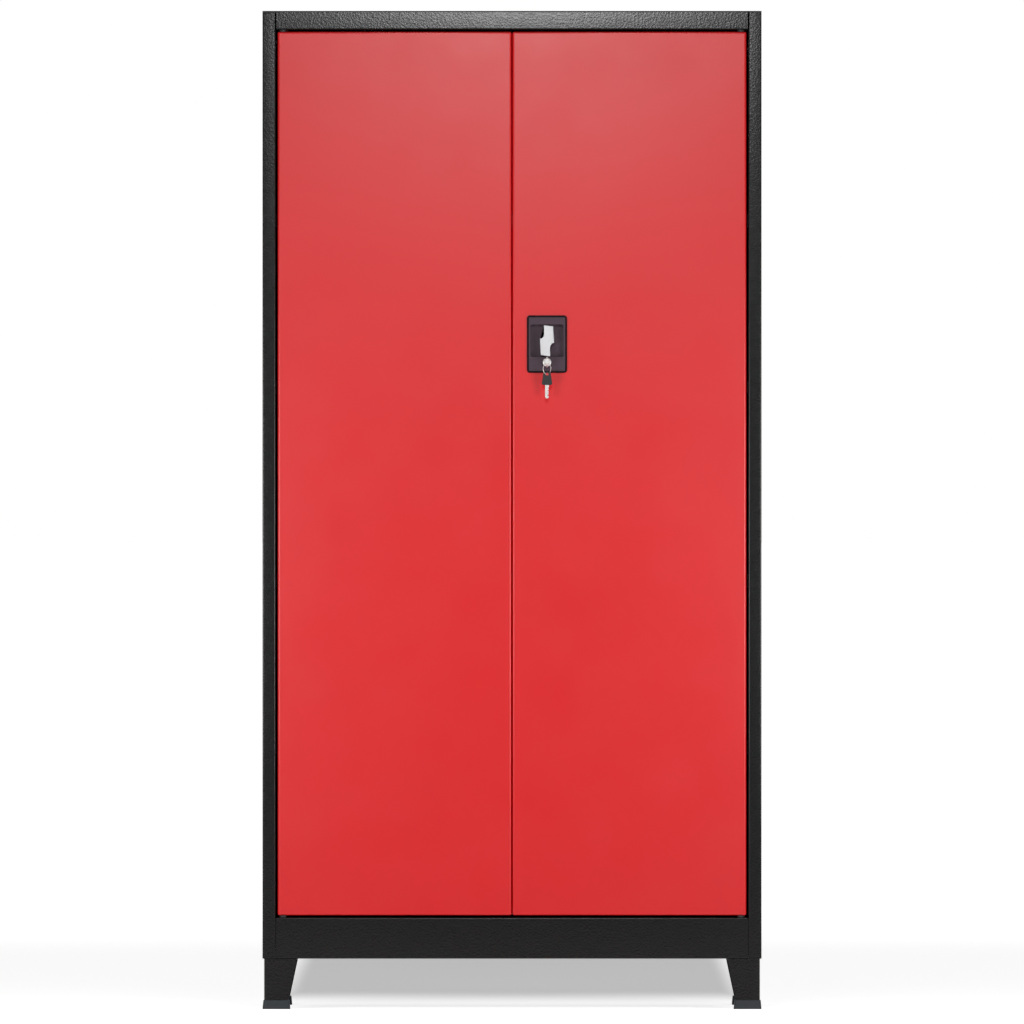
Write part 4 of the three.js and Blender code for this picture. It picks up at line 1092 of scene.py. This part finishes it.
@dataclass
class Fasteners(SubAssembly):
    """Rivets in the back and the rod guides, and weld marks on the door stiffeners."""

    rivet_radius: float = 3.2 * MM
    rivet_height: float = 1.1 * MM
    rivet_inset: float = 8 * MM
    rivet_end: float = 40 * MM
    side_count: int = 12
    end_count: int = 8
    guide_rivet_radius: float = 2.4 * MM
    guide_rivet_count: int = 2
    guide_base: float = 2 * MM
    guide_inset: float = 4 * MM
    weld_radius: float = 2.6 * MM
    weld_height: float = 0.3 * MM
    weld_end: float = 35 * MM
    weld_count: int = 14
    stiffener_flange: float = 14 * MM
    stiffener_sheet: float = 0.8 * MM
    head_segments: int = 16
    head_rings: int = 8
    backwards: Place = (math.pi / 2, 0.0, 0.0)

    def build(self) -> None:
        """Set the rows of heads, one mesh for each body and finish."""
        tree = self._head_tree()
        self._set("back_rivets", "left_back_panel", HAMMERTONE, tree, self._back_rows())
        for hand in ("left", "right"):
            rows = self._weld_rows(f"{hand}_door_stiffener")
            self._set(f"{hand}_stiffener_welds", f"{hand}_door", ZINC, tree, rows)
        self._set("guide_rivets", "right_door", NICKEL, tree, self._guide_rows())

    def _head_tree(self) -> Tree:
        """Build the tree of a row of round heads.

        Returns:
            The tree, which takes a row's place and sizes and its finish.
        """
        sizes = {
            "Start": "Vector",
            "Step": "Vector",
            "Count": "Int",
            "Turn": "Vector",
            "Radius": "Float",
            "Height": "Float",
            "Finish": "Material",
        }
        tree, given = new_tree("row_of_heads", sizes)
        row: NodeInputs = {
            "Count": given["Count"],
            "Start Location": given["Start"],
            "Offset": given["Step"],
        }
        line = add_node(tree, "GeometryNodeMeshLine", row, mode="OFFSET")
        ball: NodeInputs = {"Segments": self.head_segments, "Rings": self.head_rings, "Radius": 1.0}
        head = add_node(tree, "GeometryNodeMeshUVSphere", ball)
        spread: NodeInputs = {"X": given["Radius"], "Y": given["Radius"], "Z": given["Height"]}
        stretch = add_node(tree, "ShaderNodeCombineXYZ", spread)
        turn = add_node(tree, "FunctionNodeEulerToRotation", {0: given["Turn"]})
        copies: NodeInputs = {
            "Points": line.outputs[0],
            "Instance": head.outputs["Mesh"],
            "Rotation": turn.outputs[0],
            "Scale": stretch.outputs[0],
        }
        heads = add_node(tree, "GeometryNodeInstanceOnPoints", copies)
        close_tree(tree, heads.outputs[0], given["Finish"])
        return tree

    def _back_rows(self) -> list[HeadRow]:
        """Lay out the rivets round the back.

        Returns:
            The rows down both sides, then those along the foot and the top.
        """
        left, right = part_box("left_back_panel"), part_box("right_back_panel")
        face, end = left[1].y, self.rivet_end
        x0, x1 = left[0].x + self.rivet_inset, right[1].x - self.rivet_inset
        z0, z1 = left[0].z + self.rivet_inset, left[1].z - self.rivet_inset
        sides = [((x, face, z0 + end), (x, face, z1 - end), self.side_count) for x in (x0, x1)]
        ends = [((x0 + end, face, z), (x1 - end, face, z), self.end_count) for z in (z0, z1)]
        return [HeadRow(*run, self.rivet_radius, self.rivet_height) for run in sides + ends]

    def _weld_rows(self, node: str) -> list[HeadRow]:
        """Lay out the weld marks along both flanges of a stiffener.

        Args:
            node: The stiffener's name.

        Returns:
            One row for each flange.
        """
        low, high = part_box(node)
        face = low.y + self.stiffener_sheet
        middle = self.stiffener_flange / 2
        return [
            HeadRow(
                (x, face, low.z + self.weld_end),
                (x, face, high.z - self.weld_end),
                self.weld_count,
                self.weld_radius,
                self.weld_height,
            )
            for x in (low.x + middle, high.x - middle)
        ]

    def _guide_rows(self) -> list[HeadRow]:
        """Lay out the rivets of the rod guides.

        Returns:
            One row for each guide.
        """
        rows = []
        for level in ("upper", "lower"):
            low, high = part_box(f"{level}_rod_guide")
            face = low.y + self.guide_base
            height = (low.z + high.z) / 2
            first = (low.x + self.guide_inset, face, height)
            last = (high.x - self.guide_inset, face, height)
            size = (self.guide_rivet_radius, self.rivet_height)
            rows.append(HeadRow(first, last, self.guide_rivet_count, *size))
        return rows

    def _set(
        self, name: str, carrier: str, finish: Finish, tree: Tree, rows: Sequence[HeadRow]
    ) -> None:
        """Add rows of heads as one piece.

        Args:
            name: The piece's name.
            carrier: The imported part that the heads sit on.
            finish: What the heads are made of.
            tree: The tree that makes a row.
            rows: The rows.
        """
        work = bmesh.new()
        for row in rows:
            first, last = Vector(row.first), Vector(row.last)
            values = {
                "Start": first,
                "Step": (last - first) / (row.count - 1),
                "Count": row.count,
                "Turn": self.backwards,
                "Radius": row.radius,
                "Height": row.height,
                "Finish": finish.material(),
            }
            work.from_mesh(grown_mesh(f"{name}_row", tree, values))
        made = mesh_object(name, work)
        made.data.shade_smooth()
        self.add(made, carrier, finish)


@dataclass(frozen=True)
class Softbox:
    """A rectangular soft lamp that faces a point."""

    name: str
    place: Place
    target: Place
    width: float
    height: float
    power: float

    def hang(self) -> None:
        """Add the lamp to the scene."""
        data = bpy.data.lights.new(self.name, "AREA")
        data.shape = "RECTANGLE"
        data.size = self.width
        data.size_y = self.height
        data.energy = self.power
        lamp = new_object(self.name, data)
        lamp.location = self.place
        aim = Vector(self.target) - Vector(self.place)
        lamp.rotation_euler = aim.to_track_quat("-Z", "Y").to_euler()


@dataclass
class Studio:
    """The pale floor, the white surroundings, the soft lamps and the camera."""

    camera_distance: float = 40.0
    view_width: float = 1.845
    view_centre_height: float = 0.8964
    sensor_width: float = 36.0
    floor_size: float = 1200.0
    floor_colour: str = "F2F2F2"
    floor_roughness: float = 0.9
    floor_specular: float = 0.1
    floor_glow: float = 0.78
    # Painted shadow on the floor behind the cabinet: its glow, where it starts and where it is
    # full, and its blur at the sides
    shade_glow: float = 0.33
    shade_front: float = 0.2
    shade_full: float = 1.4
    shade_blur: float = 0.06
    mirrored_glow: float = 0.15
    glow_from: float = 4.5
    glow_to: float = 10.0
    fill_strength: float = 0.15
    front_strength: float = 0.08
    front_end: float = -0.8
    back_start: float = 0.2
    lamps: tuple[Softbox, ...] = (
        Softbox("sheen_softbox", (0.03, -2.9, 2.08), (0, -0.2, 1.6), 0.5, 0.5, 14.8),
        Softbox("left_softbox", (-1.15, -1.65, 0.8), (-0.1, -0.2, 0.85), 0.6, 0.7, 12.8),
        Softbox("right_softbox", (1.15, -1.65, 0.8), (0.1, -0.2, 0.85), 0.6, 0.7, 12.8),
    )

    def build(self) -> None:
        """Make the camera, the surroundings, the floor and the lamps."""
        self._camera()
        self._surroundings()
        self._floor()
        for lamp in self.lamps:
            lamp.hang()
        bpy.context.scene.view_settings.view_transform = "Standard"

    def _camera(self) -> None:
        """Place the camera straight in front, as far back as the photograph's flat view asks."""
        data = bpy.data.cameras.new("camera")
        data.sensor_width = self.sensor_width
        data.lens = self.sensor_width * self.camera_distance / self.view_width
        camera = new_object("camera", data)
        camera.location = (0, CAD_BOX[0].y - self.camera_distance, self.view_centre_height)
        camera.rotation_euler = (math.pi / 2, 0, 0)
        bpy.context.scene.camera = camera

    def _rays(self, tree: Tree) -> tuple[Socket, Socket]:
        """Tell the rays that show the studio from those that mirror it.

        Args:
            tree: The tree of the world or of the floor's material.

        Returns:
            A socket that is one for camera and transmission rays, and one that is for glossy rays.
        """
        rays = add_node(tree, "ShaderNodeLightPath").outputs
        either: NodeInputs = {0: rays["Is Camera Ray"], 1: rays["Is Transmission Ray"]}
        shown = add_node(tree, "ShaderNodeMath", either, operation="MAXIMUM").outputs[0]
        return shown, rays["Is Glossy Ray"]

    def _surroundings(self) -> None:
        """Make a world that is white where it shows and dimmer in front, as a studio is."""
        world = bpy.data.worlds.new("studio")
        world.use_nodes = True
        bpy.context.scene.world = world
        tree = world.node_tree
        ground = tree.nodes["Background"]
        ground.inputs["Color"].default_value = WHITE
        shown, glossy = self._rays(tree)
        direction = add_node(tree, "ShaderNodeTexCoord").outputs["Generated"]
        dimming: NodeInputs = {
            "Value": add_node(tree, "ShaderNodeSeparateXYZ", {0: direction}).outputs["Y"],
            "From Min": self.front_end,
            "From Max": self.back_start,
            "To Min": self.front_strength,
            "To Max": 1.0,
        }
        mirrored = add_node(tree, "ShaderNodeMapRange", dimming).outputs[0]
        unseen: NodeInputs = {MIX_SHARE: glossy, MIX_FROM: self.fill_strength, MIX_TO: mirrored}
        lit = add_node(tree, "ShaderNodeMix", unseen).outputs[0]
        all_rays: NodeInputs = {MIX_SHARE: shown, MIX_FROM: lit, MIX_TO: 1.0}
        strength = add_node(tree, "ShaderNodeMix", all_rays).outputs[0]
        tree.links.new(strength, ground.inputs["Strength"])

    def _floor(self) -> None:
        """Lay a pale floor that keeps the cabinet's shadow."""
        half = self.floor_size / 2
        work = bmesh.new()
        corners = rectangle((-half, -half), (half, half))
        work.faces.new([work.verts.new((x, y, 0)) for x, y in corners])
        floor = mesh_object("floor", work)
        floor.data.materials.append(self._floor_paint())

    def _floor_paint(self) -> bpy.types.Material:
        """Make the floor's material, which shows pale without more light on the cabinet.

        Returns:
            The material.
        """
        material = bpy.data.materials.new("painted_floor")
        material.use_nodes = True
        tree = material.node_tree
        shader = tree.nodes["Principled BSDF"]
        shader.inputs["Base Color"].default_value = linear(self.floor_colour)
        shader.inputs["Roughness"].default_value = self.floor_roughness
        shader.inputs["Specular IOR Level"].default_value = self.floor_specular
        shader.inputs["Emission Color"].default_value = WHITE
        shown, glossy = self._rays(tree)
        dimmed: NodeInputs = {0: glossy, 1: self.mirrored_glow}
        mirrored = add_node(tree, "ShaderNodeMath", dimmed, operation="MULTIPLY").outputs[0]
        either: NodeInputs = {0: shown, 1: mirrored}
        seen = add_node(tree, "ShaderNodeMath", either, operation="MAXIMUM").outputs[0]
        glow: NodeInputs = {0: seen, 1: self._floor_glow(tree)}
        strength = add_node(tree, "ShaderNodeMath", glow, operation="MULTIPLY").outputs[0]
        tree.links.new(strength, shader.inputs["Emission Strength"])
        return material

    def _floor_glow(self, tree: Tree) -> Socket:
        """Give the floor its own brightness: white far away, with a painted shadow in a strip
        behind the cabinet.

        Args:
            tree: The tree of the floor's material.

        Returns:
            The brightness.
        """
        place = add_node(tree, "ShaderNodeTexCoord").outputs["Object"]
        along = add_node(tree, "ShaderNodeSeparateXYZ", {0: place}).outputs
        distance = add_node(tree, "ShaderNodeVectorMath", {0: place}, operation="LENGTH")
        across = add_node(tree, "ShaderNodeMath", {0: along["X"]}, operation="ABSOLUTE")
        side = CAD_BOX[1].x
        spans = (
            (distance.outputs["Value"], self.glow_from, self.glow_to),
            (across.outputs[0], side - self.shade_blur, side),
            (along["Y"], self.shade_full, self.shade_front),
        )
        far, beside, ahead = (
            add_node(
                tree,
                "ShaderNodeMapRange",
                {"Value": value, "From Min": start, "From Max": end},
                interpolation_type="SMOOTHSTEP",
            ).outputs[0]
            for value, start, end in spans
        )
        near_light: NodeInputs = {0: beside, 1: ahead}
        lit = add_node(tree, "ShaderNodeMath", near_light, operation="MAXIMUM").outputs[0]
        lit = add_node(tree, "ShaderNodeMath", {0: lit, 1: far}, operation="MAXIMUM").outputs[0]
        open_floor: NodeInputs = {MIX_SHARE: far, MIX_FROM: self.floor_glow, MIX_TO: 1.0}
        plain = add_node(tree, "ShaderNodeMix", open_floor).outputs[0]
        # The strip behind the cabinet glows less than the floor round it: a painted shadow.
        shaded: NodeInputs = {MIX_SHARE: lit, MIX_FROM: self.shade_glow, MIX_TO: plain}
        return add_node(tree, "ShaderNodeMix", shaded).outputs[0]


def clear_startup_objects() -> None:
    """Remove the cube, lamp and camera that a new file starts with."""
    for name in ("Cube", "Light", "Camera"):
        found = bpy.data.objects.get(name)
        if found is not None:
            bpy.data.objects.remove(found)


def main() -> None:
    """Build and dress the cabinet, then set up the studio round it."""
    logging.basicConfig(level=logging.INFO, format="%(message)s")
    clear_startup_objects()
    parts = (Carcass(), Feet(), Shelving(), Doors(), RodWork(), Lock(), Keys(), Fasteners())
    for part in parts:
        part.build()
        part.dress()
        log.info("%s has %d pieces", type(part).__name__, len(part.pieces))
    Studio().build()


if __name__ == "__main__":
    main()
